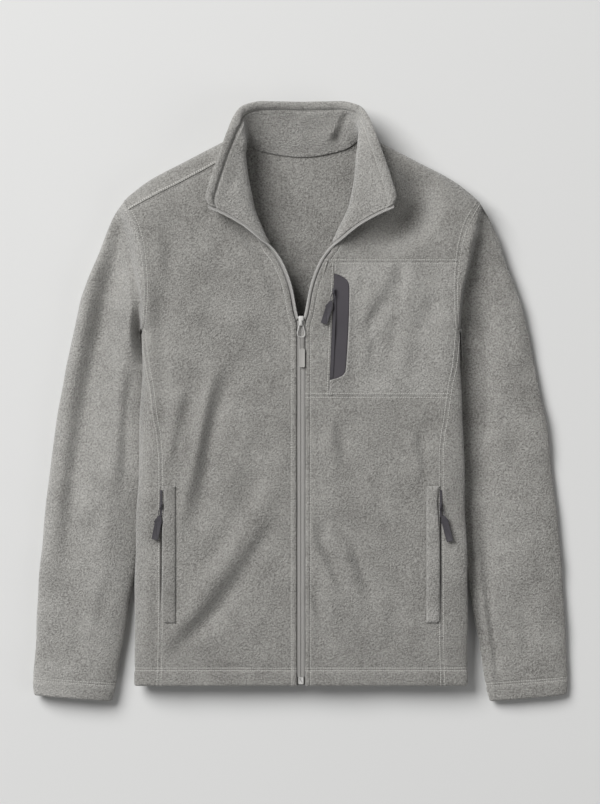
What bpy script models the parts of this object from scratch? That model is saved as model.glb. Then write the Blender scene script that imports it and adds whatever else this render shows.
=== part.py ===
"""A fleece jacket with a full front zip, lying on its back with the front a little puffed up.

Tables and lengths are in millimetres and turned to metres where a mesh is made. The jacket
lies on the plane z = 0 with the collar towards +Y and the wearer's left towards +X. The body
and the sleeves are the same on both sides, so the tables give the +X half.
"""
import math

import bmesh
import bpy
import numpy as np
from mathutils import Vector

MM = 0.001

# cloth
FLEECE = 3.0
COLLAR_CLOTH = 5.0
SEAM_GAP = 0.3
LAID_ON_GAP = 0.3

# the section of the body: a fold at mid height at each side, rising to a flat front
# and turning under to a flat back
FOLD_HEIGHT = 24.0
SIDE_REACH = 45.0
UNDER_REACH = 28.0
SHOULDER_COS = 0.88
BLEND = 14.0
NEARBY = 0.5

HEM_Y = -370.0
UNDERARM_Y = 93.0
SHOULDER_TIP_Y = 260.0

# y, half width of the body's section, height of the front
BODY = (
    (-370, 216, 31),
    (-330, 216.4, 36),
    (-289, 216.5, 39),
    (-220, 216, 41.4),
    (-128, 213, 42),
    (0, 209, 42),
    (50, 205.6, 42),
    (93, 205.4, 42),
    (105, 214, 42),
    (118, 225, 42),
    (135, 238, 42),
    (150, 246, 42),
    (190, 254, 42),
    (225, 258, 42),
    (270, 262, 42),
)

# x, y of the shoulder's fold
SHOULDER = (
    (0, 352),
    (70, 351),
    (85, 346),
    (103, 337),
    (150, 312.5),
    (198, 287),
    (220, 270.5),
    (237, 255),
    (262, 225),
)

# y, x of the seam between the front and the side panel, and of the one behind it
SIDE_SEAM = (
    (-370, 184.5),
    (-289, 182.5),
    (-77, 182),
    (-43, 184.5),
    (-24, 188),
    (20, 194),
    (45, 198.5),
    (73, 201.3),
    (93, 203.2),
)

# y, x of the armhole seam
ARMHOLE = (
    (93, 205.4),
    (99, 203.9),
    (118, 202.6),
    (147.5, 201.5),
    (187, 204),
    (225.5, 212),
    (249, 224),
    (260, 231),
)

# rows that the panels share along the side seam, and shares of the way down the armhole,
# closer together near its folds
SEAM_LEVELS = (-370, -330, -289, -183, -77, -43, -24, 7.8, 26, 45, 73, 93)
ARMHOLE_STEPS = 11

# the fronts stop just short of the shoulder seam's corner at the neck
FRONT_TOP_Y = 322.0

# the forward shoulder seam is straight, from the armhole to the neck
SHOULDER_SEAM_OUT = (224.0, 249.0)
SHOULDER_SEAM_NECK = (80.0, 325.6)

# y, x of the front's edge beside the zip and up the open V, then of the neckline
FRONT_EDGE = (
    (-370, 5.6),
    (98, 5.6),
    (105, 7.2),
    (112, 9.4),
    (147.5, 16.3),
    (180, 28.5),
    (203, 44.5),
    (213, 49.3),
    (223, 54.6),
    (249, 65.4),
    (272, 71),
    (293, 74.2),
    (318, 77.5),
    (335, 80),
)
V_TOP_Y = 203.0
# rows where the edge turns from the closed zip into the V
EDGE_BENDS = (98.0, 112.0)

# x, y of the back's neckline
BACK_NECK = ((0, 319), (20, 320), (40, 323.5), (61, 330), (70, 335), (76, 340), (81.5, 347))
NECK_HALF = 81.5

# seams of the wearer's left front: yoke above, chest between, lower front below,
# and the strip beside the zip that the chest panel joins
YOKE_SEAM_Y = 181.0
CHEST_SEAM_Y = 7.8
STRIP_SEAM = ((7.8, 36.4), (181, 43.8))

# y, x of the pocket window's outer edge, and how deep its panel is set
WINDOW = (
    (28, 38.2),
    (31, 49),
    (35.5, 56),
    (43, 58.4),
    (148, 62.8),
    (155, 61.5),
    (160, 57),
    (166, 44.8),
)
WINDOW_TOP = -1.0
WINDOW_CLOTH = 1.5
# the chest panel's edge jogs from its seam to the window within this height
WINDOW_STEP = 0.01

# y, inner x, outer x of a hand pocket's welt
WELT = (
    (-287.3, 162.8, 180.2),
    (-190, 162.8, 180.2),
    (-154, 162.8, 178.8),
    (-128, 162.8, 177.2),
    (-110, 163, 179.4),
)
WELT_CLOTH = 2.6

# the middle of the collar's cloth in sections from the zip to the middle of the back: at
# its seam beside the neckline, at the bend that it leans outwards from, and at its free edge
COLLAR = (
    # seam x, y, z;   bend x, y, z;   edge x, y, z
    (41.8, 204.4, 40.0, 42.6, 205.2, 50.0, 119.8, 254.5, 55.0),
    (51.4, 224.6, 40.0, 50.5, 224.6, 50.5, 123.5, 264.0, 56.5),
    (62.3, 249.8, 40.2, 60.5, 249, 51.0, 119.5, 281.0, 58.0),
    (67.9, 272.5, 40.2, 66.0, 272, 51.0, 113.0, 301.0, 58.5),
    (71.1, 293.4, 39.8, 69.0, 293, 50.5, 106.5, 320.0, 58.0),
    (74.2, 318.5, 35.5, 70.8, 316, 49.0, 100.0, 338.0, 56.0),
    (76.8, 335.6, 29.0, 72.3, 335, 45.0, 94.0, 354.0, 52.0),
    (78.0, 347.5, 19.0, 73.5, 352, 38.0, 87.0, 370.0, 46.0),
    (71.4, 339.0, 8.5, 71.0, 362, 28.0, 77.5, 383.0, 38.0),
    (60.5, 331.2, 4.4, 59.0, 361, 18.0, 61.5, 389.0, 32.0),
    (32.0, 322.8, 2.9, 32.0, 355, 12.5, 32.5, 390.3, 27.5),
    (0.0, 319.5, 2.8, 0.0, 353, 11.0, 0.0, 389.8, 26.5),
)

# sleeve sections from the armhole to the cuff: outer fold x, y, z; inner fold x, y, z;
# height between them, and how far the section bows towards the body
SLEEVE = (
    (243.0, 243, 22.0, 206.9, 88, 22.0, 41.0, 9.0),
    (254.0, 219, 20.0, 207.2, 80, 20.0, 39.5, 6.0),
    (267.0, 184, 18.0, 207.2, 70, 16.0, 38.0, 3.5),
    (281.0, 147, 16.0, 207.0, 57, 13.0, 36.0, 1.5),
    (293.0, 106, 15.0, 205.6, 37, 9.5, 34.0, 0.0),
    (303.0, 60, 14.0, 205.4, 8, 8.0, 32.0, 0.0),
    (312.5, 8, 14.0, 206.6, -29, 8.0, 31.0, 0.0),
    (322.5, -50, 14.0, 208.2, -75, 8.0, 30.0, 0.0),
    (330.5, -112, 14.0, 210.4, -130, 8.5, 30.0, 0.0),
    (337.5, -180, 14.0, 213.6, -192, 9.5, 30.0, 0.0),
    (342.5, -250, 14.0, 221.8, -259, 11.0, 29.0, 0.0),
    (346.0, -318, 14.0, 233.8, -326, 12.0, 28.0, 0.0),
    (347.5, -370, 13.0, 243.5, -378, 12.0, 27.0, 0.0),
    (346.0, -383, 13.0, 247.0, -391.1, 12.0, 26.5, 0.0),
)
SLEEVE_OUTER_REACH = 42.0
SLEEVE_INNER_REACH = 45.0
# underneath, each fold turns in over this many times its height
SLEEVE_TURN = 1.3
# the seam is wider underneath, and the wall turns into the sleeve over this far at the underarm
UNDER_GAPS = 3.0
UNDERARM_TURN = 12.0

# main zip: the closed chain, and the two halves with their tapes, below the front's surface
CHAIN_HALF = 4.6
CLOSED_CHAIN = 9.8
CHAIN_ASIDE = -2.8
CHAIN_THICK = 2.2
CHAIN_DEPTH = 1.7
TAPE_WIDTH = 13.0
TAPE_ASIDE = 1.2
TAPE_THICK = 0.8
TAPE_DEPTH = 3.9
ZIP_FOOT_Y = -366.0
POST_FOOT_Y = 105.2
CHAIN_LEVELS = (105.8, 112.0, 147.5, 180.0, 191.0)
ZIP_LEVELS = (-330.0, -289.0, -183.0, -77.0)
TAPE_LEVELS = (ZIP_FOOT_Y, *ZIP_LEVELS, 90.0, 112.0, 147.5, 180.0, 196.0)

# the retaining box at the foot of the zip, x, y and z, its z above the front
BOX_LOW = (-4.2, -367.5, -3.2)
BOX_HIGH = (4.2, -358.0, 0.2)
END_CLEAR = 0.3

# the half chain's way over the front's corner and along the collar's zip edge, x, y, z
COLLAR_CHAIN = (
    (35.2, 197.6, 41.8),
    (38.9, 199.8, 43.8),
    (42.6, 200.7, 44.9),
    (46.6, 202.6, 46.1),
    (50.8, 206.4, 48.2),
    (55.8, 210.3, 49.8),
    (76.8, 223.8, 52.4),
    (97.8, 237.3, 53.7),
    (121.4, 252.4, 55.0),
)

# boxes of the main slider: half width, y from and to, z from and to above the front
SLIDER = (
    (4.3, 98.0, 111.0, 0.2, 1.4),       # top plate
    (4.3, 98.0, 111.0, -6.4, -5.2),     # bottom plate
    (1.3, 105.2, 110.4, -6.0, 1.0),     # post between the two halves of the chain
    (1.5, 103.6, 106.0, 0.8, 4.5),      # leg of the bridge
    (1.4, 98.4, 105.6, 3.5, 4.4),       # its arm over the ring
)
SLIDER_Y = 98.0
MAIN_PIVOT = (0.0, 100.5)
PIVOT_RISE = 2.4

# outlines of the main pull from its pivot, x, y
RING = (
    (-2.7, 0),
    (2.7, 0),
    (3.6, -4.0),
    (5.2, -12.0),
    (4.6, -15.7),
    (-4.6, -15.7),
    (-5.2, -12.0),
    (-3.6, -4.0),
)
RING_WIRE = 0.7
LINK = ((0.1, -16.8), (2.9, -16.8), (2.9, -31.3), (0.1, -31.3))
LINK_CORNER = 0.8
TAB = ((-2.1, -31.7), (5.1, -31.7), (5.1, -56.3), (-2.1, -56.3))
TAB_CORNER = 1.8
TAB_THICK = 2.4

# boxes of a pocket's slider from its pivot: half width, y from and to, z from and to
POCKET_SLIDER = (
    (2.2, -3.0, 6.0, 0.0, 1.6),
    (0.9, 2.4, 4.2, 1.1, 4.1),
    (0.8, -1.4, 3.8, 3.2, 4.0),
)
POCKET_LOOP = ((-1.9, 0), (1.9, 0), (1.9, -11.0), (-1.9, -11.0))
POCKET_WIRE = 0.5
PULL_THICK = 2.0
PULL_CORNER = 1.0

# name, pivot x and y, turn in degrees, length of the tab, height of the slider's foot
POCKET_PULLS = (
    ("chest", 42.6, 141.0, -18, 42.0, 0.8),
    ("pocket_right", -181.4, -137.0, -11, 43.0, 1.8),
    ("pocket_left", 181.4, -137.0, 15, 46.0, 1.8),
)

# pocket chains: y from and to, width; heights of their middles above the front
CHEST_CHAIN = (31.0, 137.0, 3.2)
CHEST_CHAIN_ASIDE = 2.6
CHEST_CHAIN_RISE = -0.1
HAND_CHAIN = (-150.0, -115.0, 2.8)
HAND_CHAIN_RISE = 0.9
POCKET_CHAIN_THICK = 1.2


def curve(points):
    """A smooth curve through rows of (x, y) that never swings past them."""
    xs = np.array([row[0] for row in points], float)
    ys = np.array([row[1] for row in points], float)
    rises = np.diff(ys) / np.diff(xs)
    slopes = np.zeros(len(xs))
    slopes[0] = rises[0]
    slopes[-1] = rises[-1]
    for i in range(1, len(xs) - 1):
        if rises[i - 1] * rises[i] > 0:
            slopes[i] = 2 / (1 / rises[i - 1] + 1 / rises[i])

    def at(x):
        x = min(max(x, xs[0]), xs[-1])
        i = min(max(int(np.searchsorted(xs, x)) - 1, 0), len(xs) - 2)
        step = xs[i + 1] - xs[i]
        t = (x - xs[i]) / step
        start = (1 + 2 * t) * (1 - t) ** 2 * ys[i] + t * (1 - t) ** 2 * step * slopes[i]
        end = t * t * (3 - 2 * t) * ys[i + 1] + t * t * (t - 1) * step * slopes[i + 1]
        return start + end

    return at


half_width = curve([(row[0], row[1]) for row in BODY])
front_height = curve([(row[0], row[2]) for row in BODY])
shoulder_y = curve(SHOULDER)
side_seam_x = curve(SIDE_SEAM)
armhole_x = curve(ARMHOLE)
front_edge_x = curve(FRONT_EDGE)
strip_seam_x = curve(STRIP_SEAM)
window_x = curve(WINDOW)
back_neck_y = curve(BACK_NECK)


# --- the body's surface ---


def rise(share):
    """A quarter ellipse: 0 at the fold, 1 from the end of its reach on."""
    share = min(max(share, 0.0), 1.0)
    return math.sqrt(1 - (1 - share) ** 2)


def inside(x, y):
    """Distance from the folded edge of the body, blended where side and shoulder meet."""
    side = half_width(y) - abs(x)
    top = (shoulder_y(abs(x)) - y) * SHOULDER_COS
    blend = max(BLEND - abs(side - top), 0) / BLEND
    return min(side, top) - blend * blend * BLEND / 4


def front_z(x, y):
    return FOLD_HEIGHT + (front_height(y) - FOLD_HEIGHT) * rise(inside(x, y) / SIDE_REACH)


def under_z(x, y):
    return FOLD_HEIGHT * (1 - rise(inside(x, y) / UNDER_REACH))


def body_normal(x, y, under=False):
    """Outward normal of the front, or of the side that the jacket lies on."""
    reach = UNDER_REACH if under else SIDE_REACH
    height = FOLD_HEIGHT if under else front_height(y) - FOLD_HEIGHT
    share = min(max(inside(x, y) / reach, 1e-4), 1.0)
    steepness = height / reach * (1 - share) / math.sqrt(1 - (1 - share) ** 2)
    inward_x = inside(x + NEARBY, y) - inside(x - NEARBY, y)
    inward_y = inside(x, y + NEARBY) - inside(x, y - NEARBY)
    length = max(math.hypot(inward_x, inward_y), 1e-9)
    lean = -steepness / length
    normal = np.array([lean * inward_x, lean * inward_y, -1.0 if under else 1.0])
    return normal / np.linalg.norm(normal)


def on_body(x, y, lift=0.0, under=False):
    """A point of the body's outer surface, moved out by lift."""
    z = under_z(x, y) if under else front_z(x, y)
    return np.array([x, y, z]) + lift * body_normal(x, y, under)


# --- meshes ---


def material(name, colour, roughness, metallic=0.0):
    mat = bpy.data.materials.new(name)
    mat.use_nodes = True
    surface = mat.node_tree.nodes["Principled BSDF"]
    surface.inputs["Base Color"].default_value = (*colour, 1.0)
    surface.inputs["Roughness"].default_value = roughness
    surface.inputs["Metallic"].default_value = metallic
    return mat


def add_object(name, mesh, mat, parent=None):
    mesh.materials.append(mat)
    obj = bpy.data.objects.new(name, mesh)
    parts.objects.link(obj)
    obj.parent = parent
    return obj


def mesh_of(name, points, faces):
    """A mesh from points in millimetres, its faces turned outwards."""
    mesh = bpy.data.meshes.new(name)
    shape = bmesh.new()
    corners = [shape.verts.new(Vector(point) * MM) for point in points]
    for face in faces:
        shape.faces.new([corners[i] for i in face])
    bmesh.ops.recalc_face_normals(shape, faces=shape.faces)
    shape.to_mesh(mesh)
    shape.free()
    mesh.shade_smooth()
    mesh.set_sharp_from_angle(angle=math.radians(50))
    return mesh


def sheet(name, mat, outer, inner, keep=None, tube=False):
    """A closed cloth wall between two grids of points, over the cells that keep names."""
    rows = len(outer)
    columns = len(outer[0])
    points = [p for row in outer for p in row] + [p for row in inner for p in row]
    below = rows * columns
    cells = []
    for r in range(rows - 1):
        for c in range(columns if tube else columns - 1):
            if keep is None or keep(r, c):
                right = (c + 1) % columns
                low = r * columns
                high = low + columns
                cells.append((low + c, low + right, high + right, high + c))
    faces = list(cells)
    faces += [tuple(below + i for i in reversed(cell)) for cell in cells]
    edges = {}
    for cell in cells:
        for start, end in zip(cell, cell[1:] + cell[:1]):
            edges[(start, end)] = True
    for start, end in edges:
        if (end, start) not in edges:
            faces.append((end, start, below + start, below + end))
    used = sorted({i for face in faces for i in face})
    index = {old: new for new, old in enumerate(used)}
    mesh = mesh_of(
        name, [points[i] for i in used], [tuple(index[i] for i in face) for face in faces]
    )
    return add_object(name, mesh, mat)


def bar(name, mat, path, width, thick):
    """A flat bar along a path, its width level and its thickness upright."""
    rings = []
    for i, point in enumerate(path):
        along = np.array(path[min(i + 1, len(path) - 1)]) - np.array(path[max(i - 1, 0)])
        across = np.array([-along[1], along[0], 0.0])
        across = across / np.linalg.norm(across) * width / 2
        up = np.array([0, 0, thick / 2])
        left = point - across
        right = point + across
        rings.append([right - up, left - up, left + up, right + up])
    points = [p for ring in rings for p in ring]
    faces = [(0, 1, 2, 3), tuple(len(points) - 4 + i for i in (3, 2, 1, 0))]
    for r in range(len(rings) - 1):
        for c in range(4):
            after = (c + 1) % 4
            faces.append((4 * r + c, 4 * r + after, 4 * r + 4 + after, 4 * r + 4 + c))
    return add_object(name, mesh_of(name, points, faces), mat)


def box(name, mat, low, high, parent=None):
    """A box between two corners in millimetres."""
    shape = bmesh.new()
    bmesh.ops.create_cube(shape, size=1.0)
    for vert in shape.verts:
        vert.co = Vector(
            (low[i] + (vert.co[i] + 0.5) * (high[i] - low[i])) * MM for i in range(3)
        )
    mesh = bpy.data.meshes.new(name)
    shape.to_mesh(mesh)
    shape.free()
    return add_object(name, mesh, mat, parent)


def steps(stops, length):
    """Values from the first stop to the last through each, no more than length apart."""
    values = [stops[0]]
    for start, end in zip(stops, stops[1:]):
        count = max(1, math.ceil(abs(end - start) / length - 1e-6))
        values += [start + (end - start) * i / count for i in range(1, count + 1)]
    return values


def mirrored(side, rows):
    """Rows of points on the side asked for: 1 as the tables give them, -1 across the zip."""
    return [[np.array([side * p[0], p[1], p[2]]) for p in row] for row in rows]


# --- cloth panels ---


def shoulder_seam_x(y):
    """x of the forward shoulder seam at a height."""
    (out_x, out_y), (neck_x, neck_y) = SHOULDER_SEAM_OUT, SHOULDER_SEAM_NECK
    return out_x + (y - out_y) * (neck_x - out_x) / (neck_y - out_y)


def armhole_levels():
    """Heights of the armhole's rows, from the shoulder's fold down to the underarm."""
    shares = [(1 - math.cos(i / ARMHOLE_STEPS * math.pi)) / 2 for i in range(ARMHOLE_STEPS + 1)]
    return [SHOULDER_TIP_Y - share * (SHOULDER_TIP_Y - UNDERARM_Y) for share in shares]


def body_levels(low, high):
    """The shared rows between two heights, both ends included."""
    shared = [*SEAM_LEVELS, *armhole_levels()]
    return [low, *sorted(y for y in set(shared) if low + 1 < y < high - 1), high]


def seam_gap(edge, y):
    """Half the seam gap, measured along x where the edge slants."""
    slope = (edge(y + NEARBY) - edge(y - NEARBY)) / (2 * NEARBY)
    return SEAM_GAP / 2 * math.hypot(1, slope)


def outer_edge_x(y):
    """The front's edge away from the zip: side seam, armhole, then shoulder seam."""
    if y <= UNDERARM_Y:
        return side_seam_x(y)
    if y <= SHOULDER_SEAM_OUT[1]:
        return armhole_x(y)
    return shoulder_seam_x(y)


def front_panel(name, mat, side, levels, inner_x, outer_x, columns, top=0.0, cloth=FLEECE):
    """A panel of the front over rows at the levels, from one edge's x to the other's."""
    outer = []
    inner = []
    for y in levels:
        start = inner_x(y) + (0 if inner_x is front_edge_x else seam_gap(inner_x, y))
        end = outer_x(y) - seam_gap(outer_x, y)
        row = [start + (end - start) * c / columns for c in range(columns + 1)]
        outer.append([on_body(x, y, top) for x in row])
        inner.append([on_body(x, y, top - cloth) for x in row])
    return sheet(name, mat, mirrored(side, outer), mirrored(side, inner))


def chest_inner_x(y):
    """The chest panel's edge: the strip's seam, and the pocket window between its ends."""
    return window_x(y) if WINDOW[0][0] < y < WINDOW[-1][0] else strip_seam_x(y)


def make_fronts(mat, dark):
    gap = SEAM_GAP / 2
    corner_y = SHOULDER_SEAM_OUT[1]
    shoulder_rows = steps((corner_y, FRONT_TOP_Y), 13)[1:]
    whole = sorted({*body_levels(HEM_Y, corner_y), *EDGE_BENDS, V_TOP_Y})
    front_panel("front_right", mat, -1, [*whole, *shoulder_rows], front_edge_x, outer_edge_x, 9)
    lower = body_levels(HEM_Y, CHEST_SEAM_Y - gap)
    front_panel("front_left_lower", mat, 1, lower, front_edge_x, outer_edge_x, 9)
    yoke = sorted({*body_levels(YOKE_SEAM_Y + gap, corner_y), V_TOP_Y})
    front_panel("front_left_yoke", mat, 1, [*yoke, *shoulder_rows], front_edge_x, outer_edge_x, 9)
    between = body_levels(CHEST_SEAM_Y + gap, YOKE_SEAM_Y - gap)
    strip = sorted({*between, *EDGE_BENDS})
    front_panel("front_left_strip", mat, 1, strip, front_edge_x, strip_seam_x, 2)
    edge_ys = [row[0] for row in WINDOW]
    chest = {*between, *edge_ys, edge_ys[0] + WINDOW_STEP, edge_ys[-1] - WINDOW_STEP}
    front_panel("front_left_chest", mat, 1, sorted(chest), chest_inner_x, outer_edge_x, 7)
    levels = steps((edge_ys[0] + 2 * gap, *edge_ys[1:-1], edge_ys[-1] - 2 * gap), 36)
    window = (WINDOW_TOP, WINDOW_CLOTH)
    front_panel("chest_window", dark, 1, levels, strip_seam_x, window_x, 2, *window)


def make_side(name, mat, side):
    """A side panel from the front seam round the fold to the seam behind."""
    half_columns = 5
    outer = []
    inner = []
    for y in body_levels(HEM_Y, UNDERARM_Y - SEAM_GAP):
        edge = half_width(y)
        wide = edge - side_seam_x(y) - seam_gap(side_seam_x, y)
        turns = [i / half_columns for i in range(-half_columns, half_columns + 1)]
        xs = [edge - wide * (1 - math.cos(abs(turn) * math.pi / 2)) for turn in turns]
        outer.append([on_body(x, y, 0, turn > 0) for x, turn in zip(xs, turns)])
        inner.append([on_body(x, y, -FLEECE, turn > 0) for x, turn in zip(xs, turns)])
    return sheet(name, mat, mirrored(side, outer), mirrored(side, inner))


def make_back(mat):
    """The back lies flat and comes forward over each shoulder to the shoulder seam."""
    tip = armhole_x(SHOULDER_TIP_Y) - seam_gap(armhole_x, SHOULDER_TIP_Y)
    half = [0, 30, 52, 61, 70, 76, NECK_HALF, 94, 115, 150, 190, tip]
    tops = [-x for x in reversed(half[1:])] + half
    shares = [x / tip for x in tops]
    outer = []
    inner = []
    levels = body_levels(HEM_Y, SHOULDER_TIP_Y)
    for level in levels:
        up = (level - HEM_Y) / (SHOULDER_TIP_Y - HEM_Y)
        edge_x = side_seam_x if level <= UNDERARM_Y else armhole_x
        edge = edge_x(level) - seam_gap(edge_x, level)
        row = []
        for x_top, share in zip(tops, shares):
            top_y = shoulder_y(abs(x_top)) if abs(x_top) >= NECK_HALF else back_neck_y(abs(x_top))
            if abs(x_top) == tip:
                top_y = SHOULDER_TIP_Y
            row.append((share * edge, HEM_Y + up * (top_y - HEM_Y)))
        outer.append([on_body(x, y, 0, True) for x, y in row])
        inner.append([on_body(x, y, -FLEECE, True) for x, y in row])
    last = [(p[0], p[1]) for p in outer[-1]]
    wraps = 4
    (out_x, out_y), (neck_x, neck_y) = SHOULDER_SEAM_OUT, SHOULDER_SEAM_NECK
    for w in range(1, wraps + 1):
        forward = 1 - math.cos(w / wraps * math.pi / 2)
        row = []
        for x_top, (x, y) in zip(tops, last):
            reach = min(max((abs(x_top) - NECK_HALF) / (tip - NECK_HALF), 0), 1)
            seam_x = math.copysign(neck_x + reach * (out_x - SEAM_GAP - neck_x), x_top)
            seam_y = neck_y + reach * (out_y - neck_y) + SEAM_GAP
            row.append((x + forward * (seam_x - x), y + forward * (seam_y - y)))
        outer.append([on_body(x, y, 0) for x, y in row])
        inner.append([on_body(x, y, -FLEECE) for x, y in row])
    flat_rows = len(levels)

    def keep(r, c):
        over_neck = tops[c] >= -NECK_HALF and tops[c + 1] <= NECK_HALF
        return r < flat_rows - 1 or not over_neck

    return sheet("back_panel", mat, outer, inner, keep)


def sleeve_section(row, share):
    """Top and underside of a sleeve section at a share of the way from outer to inner fold."""
    outer_x, outer_y, outer_z, inner_x, inner_y, inner_z, height, bow = row
    across = np.array([inner_x - outer_x, inner_y - outer_y])
    wide = np.linalg.norm(across)
    lean = np.array([across[1], -across[0]]) / wide
    place = np.array([outer_x, outer_y]) + share * across + 4 * share * (1 - share) * bow * lean
    outer_share = share * wide
    inner_share = (1 - share) * wide
    top = height
    top -= (height - outer_z) * (1 - rise(outer_share / SLEEVE_OUTER_REACH))
    top -= (height - inner_z) * (1 - rise(inner_share / SLEEVE_INNER_REACH))
    low = outer_z * (1 - rise(outer_share / (SLEEVE_TURN * outer_z)))
    low += inner_z * (1 - rise(inner_share / (SLEEVE_TURN * inner_z)))
    return (*place, top), (*place, low)


def make_sleeve(name, mat, side):
    """A tube from the armhole to the cuff, flat underneath."""
    levels = armhole_levels()
    shares = [(SHOULDER_TIP_Y - y) / (SHOULDER_TIP_Y - UNDERARM_Y) for y in levels]
    rings = []
    first = []
    first_normals = []
    for under in (False, True):
        for y in (reversed(levels[1:-1]) if under else levels):
            x = armhole_x(y) + seam_gap(armhole_x, y) * (UNDER_GAPS if under else 1)
            first.append(on_body(x, y, 0, under))
            into_sleeve = max(1 - (y - UNDERARM_Y) / UNDERARM_TURN, 0)
            normal = body_normal(x, y, under) * (1 - into_sleeve) - into_sleeve * np.array([0, 1, 0])
            first_normals.append(normal / np.linalg.norm(normal))
    rings.append(first)
    for row in SLEEVE:
        pairs = [sleeve_section(row, share) for share in shares]
        over = [np.array(top) for top, low in pairs]
        rings.append(over + [np.array(low) for top, low in reversed(pairs[1:-1])])
    outer = np.array(rings)
    count = outer.shape[1]
    inner = outer.copy()
    for r in range(len(outer)):
        for c in range(count):
            around = outer[r, (c + 1) % count] - outer[r, c - 1]
            along = outer[min(r + 1, len(outer) - 1), c] - outer[max(r - 1, 0), c]
            normal = np.cross(around, along)
            normal = normal / np.linalg.norm(normal)
            inner[r, c] = outer[r, c] - FLEECE * (first_normals[c] if r == 0 else normal)
    inner_rows = [list(row) for row in inner]
    outer_rows = [list(row) for row in outer]
    return sheet(name, mat, mirrored(side, outer_rows), mirrored(side, inner_rows), tube=True)


def collar_section(row, count):
    """Points along a collar section from the neckline over the roll to the free edge."""
    neck = np.array(row[0:3])
    roll = np.array(row[3:6])
    edge = np.array(row[6:9])
    lay = (roll + edge) / 2
    points = []
    for i in range(count + 1):
        t = i / count * 2
        a, b, c = (neck, roll, (roll + lay) / 2) if t <= 1 else ((roll + lay) / 2, lay, edge)
        s = t if t <= 1 else t - 1
        points.append((1 - s) ** 2 * a + 2 * s * (1 - s) * b + s * s * c)
    return points


def make_collar(mat):
    """The stand collar: open and rolled outwards at the front, upright behind the neck."""
    half = [collar_section(row, 8) for row in COLLAR]
    other = [[p * np.array([-1, 1, 1]) for p in row] for row in half]
    middle = np.array(half + other[-2::-1])
    outer = middle.copy()
    inner = middle.copy()
    rows, columns = middle.shape[:2]
    for r in range(rows):
        for c in range(columns):
            along = middle[min(r + 1, rows - 1), c] - middle[max(r - 1, 0), c]
            across = middle[r, min(c + 1, columns - 1)] - middle[r, max(c - 1, 0)]
            normal = np.cross(across, along)
            normal = normal / np.linalg.norm(normal) * COLLAR_CLOTH / 2
            outer[r, c] += normal
            inner[r, c] -= normal
    return sheet("collar", mat, [list(row) for row in outer], [list(row) for row in inner])


def make_welt(name, mat, side):
    inner_x = curve([(row[0], row[1]) for row in WELT])
    outer_x = curve([(row[0], row[2]) for row in WELT])
    outer = []
    inner = []
    for y in steps([row[0] for row in WELT], 50):
        xs = [inner_x(y) + (outer_x(y) - inner_x(y)) * c / 2 for c in range(3)]
        outer.append([on_body(x, y, LAID_ON_GAP + WELT_CLOTH) for x in xs])
        inner.append([on_body(x, y, LAID_ON_GAP) for x in xs])
    return sheet(name, mat, mirrored(side, outer), mirrored(side, inner))


# --- zips ---


def edge_path(levels, aside, depth):
    """A path beside the front's edge, aside towards the wearer's side, below the surface."""
    path = []
    for y in levels:
        x = front_edge_x(y)
        slope = (front_edge_x(y + 1) - front_edge_x(y - 1)) / 2
        out = np.array([1.0, -slope]) / math.hypot(1, slope)
        path.append(np.array([x + aside * out[0], y + aside * out[1], front_z(x, y) - depth]))
    return path


def make_main_zip(light, tape):
    closed = []
    for y in (BOX_HIGH[1] + END_CLEAR, *ZIP_LEVELS, POST_FOOT_Y - END_CLEAR):
        closed.append(np.array([0.0, y, front_z(0, y) - CHAIN_DEPTH]))
    bar("zip_chain", light, closed, CLOSED_CHAIN, CHAIN_THICK)
    for name, side in (("right", -1), ("left", 1)):
        across = np.array([side, 1, 1])
        path = edge_path(steps(CHAIN_LEVELS, 9), CHAIN_ASIDE, CHAIN_DEPTH)
        path += [np.array(p) for p in COLLAR_CHAIN]
        bar("zip_half_" + name, light, [p * across for p in path], CHAIN_HALF, CHAIN_THICK)
        path = edge_path(TAPE_LEVELS, TAPE_ASIDE, TAPE_DEPTH)
        bar("zip_tape_" + name, tape, [p * across for p in path], TAPE_WIDTH, TAPE_THICK)
    front = np.array([0.0, 0.0, front_z(0, BOX_HIGH[1])])
    box("zip_box", light, front + BOX_LOW, front + BOX_HIGH)


def join(base, extra):
    """Two solids made one."""
    union = base.modifiers.new("union", "BOOLEAN")
    union.operation = "UNION"
    union.solver = "EXACT"
    union.object = extra
    parts.objects.unlink(extra)
    cutters.objects.link(extra)
    extra.hide_render = True
    extra.display_type = "WIRE"


def loop_curve(name, mat, frame, points, wire_r):
    """A closed wire loop through points in the frame's plane, rounded a little at corners."""
    path = bpy.data.curves.new(name, "CURVE")
    path.dimensions = "3D"
    path.bevel_depth = wire_r * MM
    path.bevel_resolution = 2
    line = path.splines.new("POLY")
    rounded = []
    for i, point in enumerate(points):
        before = Vector(points[i - 1])
        here = Vector(point)
        after = Vector(points[(i + 1) % len(points)])
        rounded.append(here.lerp(before, 0.15))
        rounded.append(here.lerp(after, 0.15))
    line.points.add(len(rounded) - 1)
    for spot, point in zip(line.points, rounded):
        spot.co = (point.x * MM, point.y * MM, 0.0, 1.0)
    line.use_cyclic_u = True
    path.materials.append(mat)
    obj = bpy.data.objects.new(name, path)
    parts.objects.link(obj)
    obj.parent = frame
    return obj


def plate(name, mat, frame, outline, thick, drop=0.0):
    """A flat tab: an outline in the frame's plane, half its thickness each way."""
    path = bpy.data.curves.new(name, "CURVE")
    path.dimensions = "2D"
    path.fill_mode = "BOTH"
    path.extrude = thick / 2 * MM
    line = path.splines.new("POLY")
    line.points.add(len(outline) - 1)
    for spot, (x, y) in zip(line.points, outline):
        spot.co = (x * MM, y * MM, 0.0, 1.0)
    line.use_cyclic_u = True
    path.materials.append(mat)
    obj = bpy.data.objects.new(name, path)
    obj.location.z = drop * MM
    parts.objects.link(obj)
    obj.parent = frame
    return obj


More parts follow.
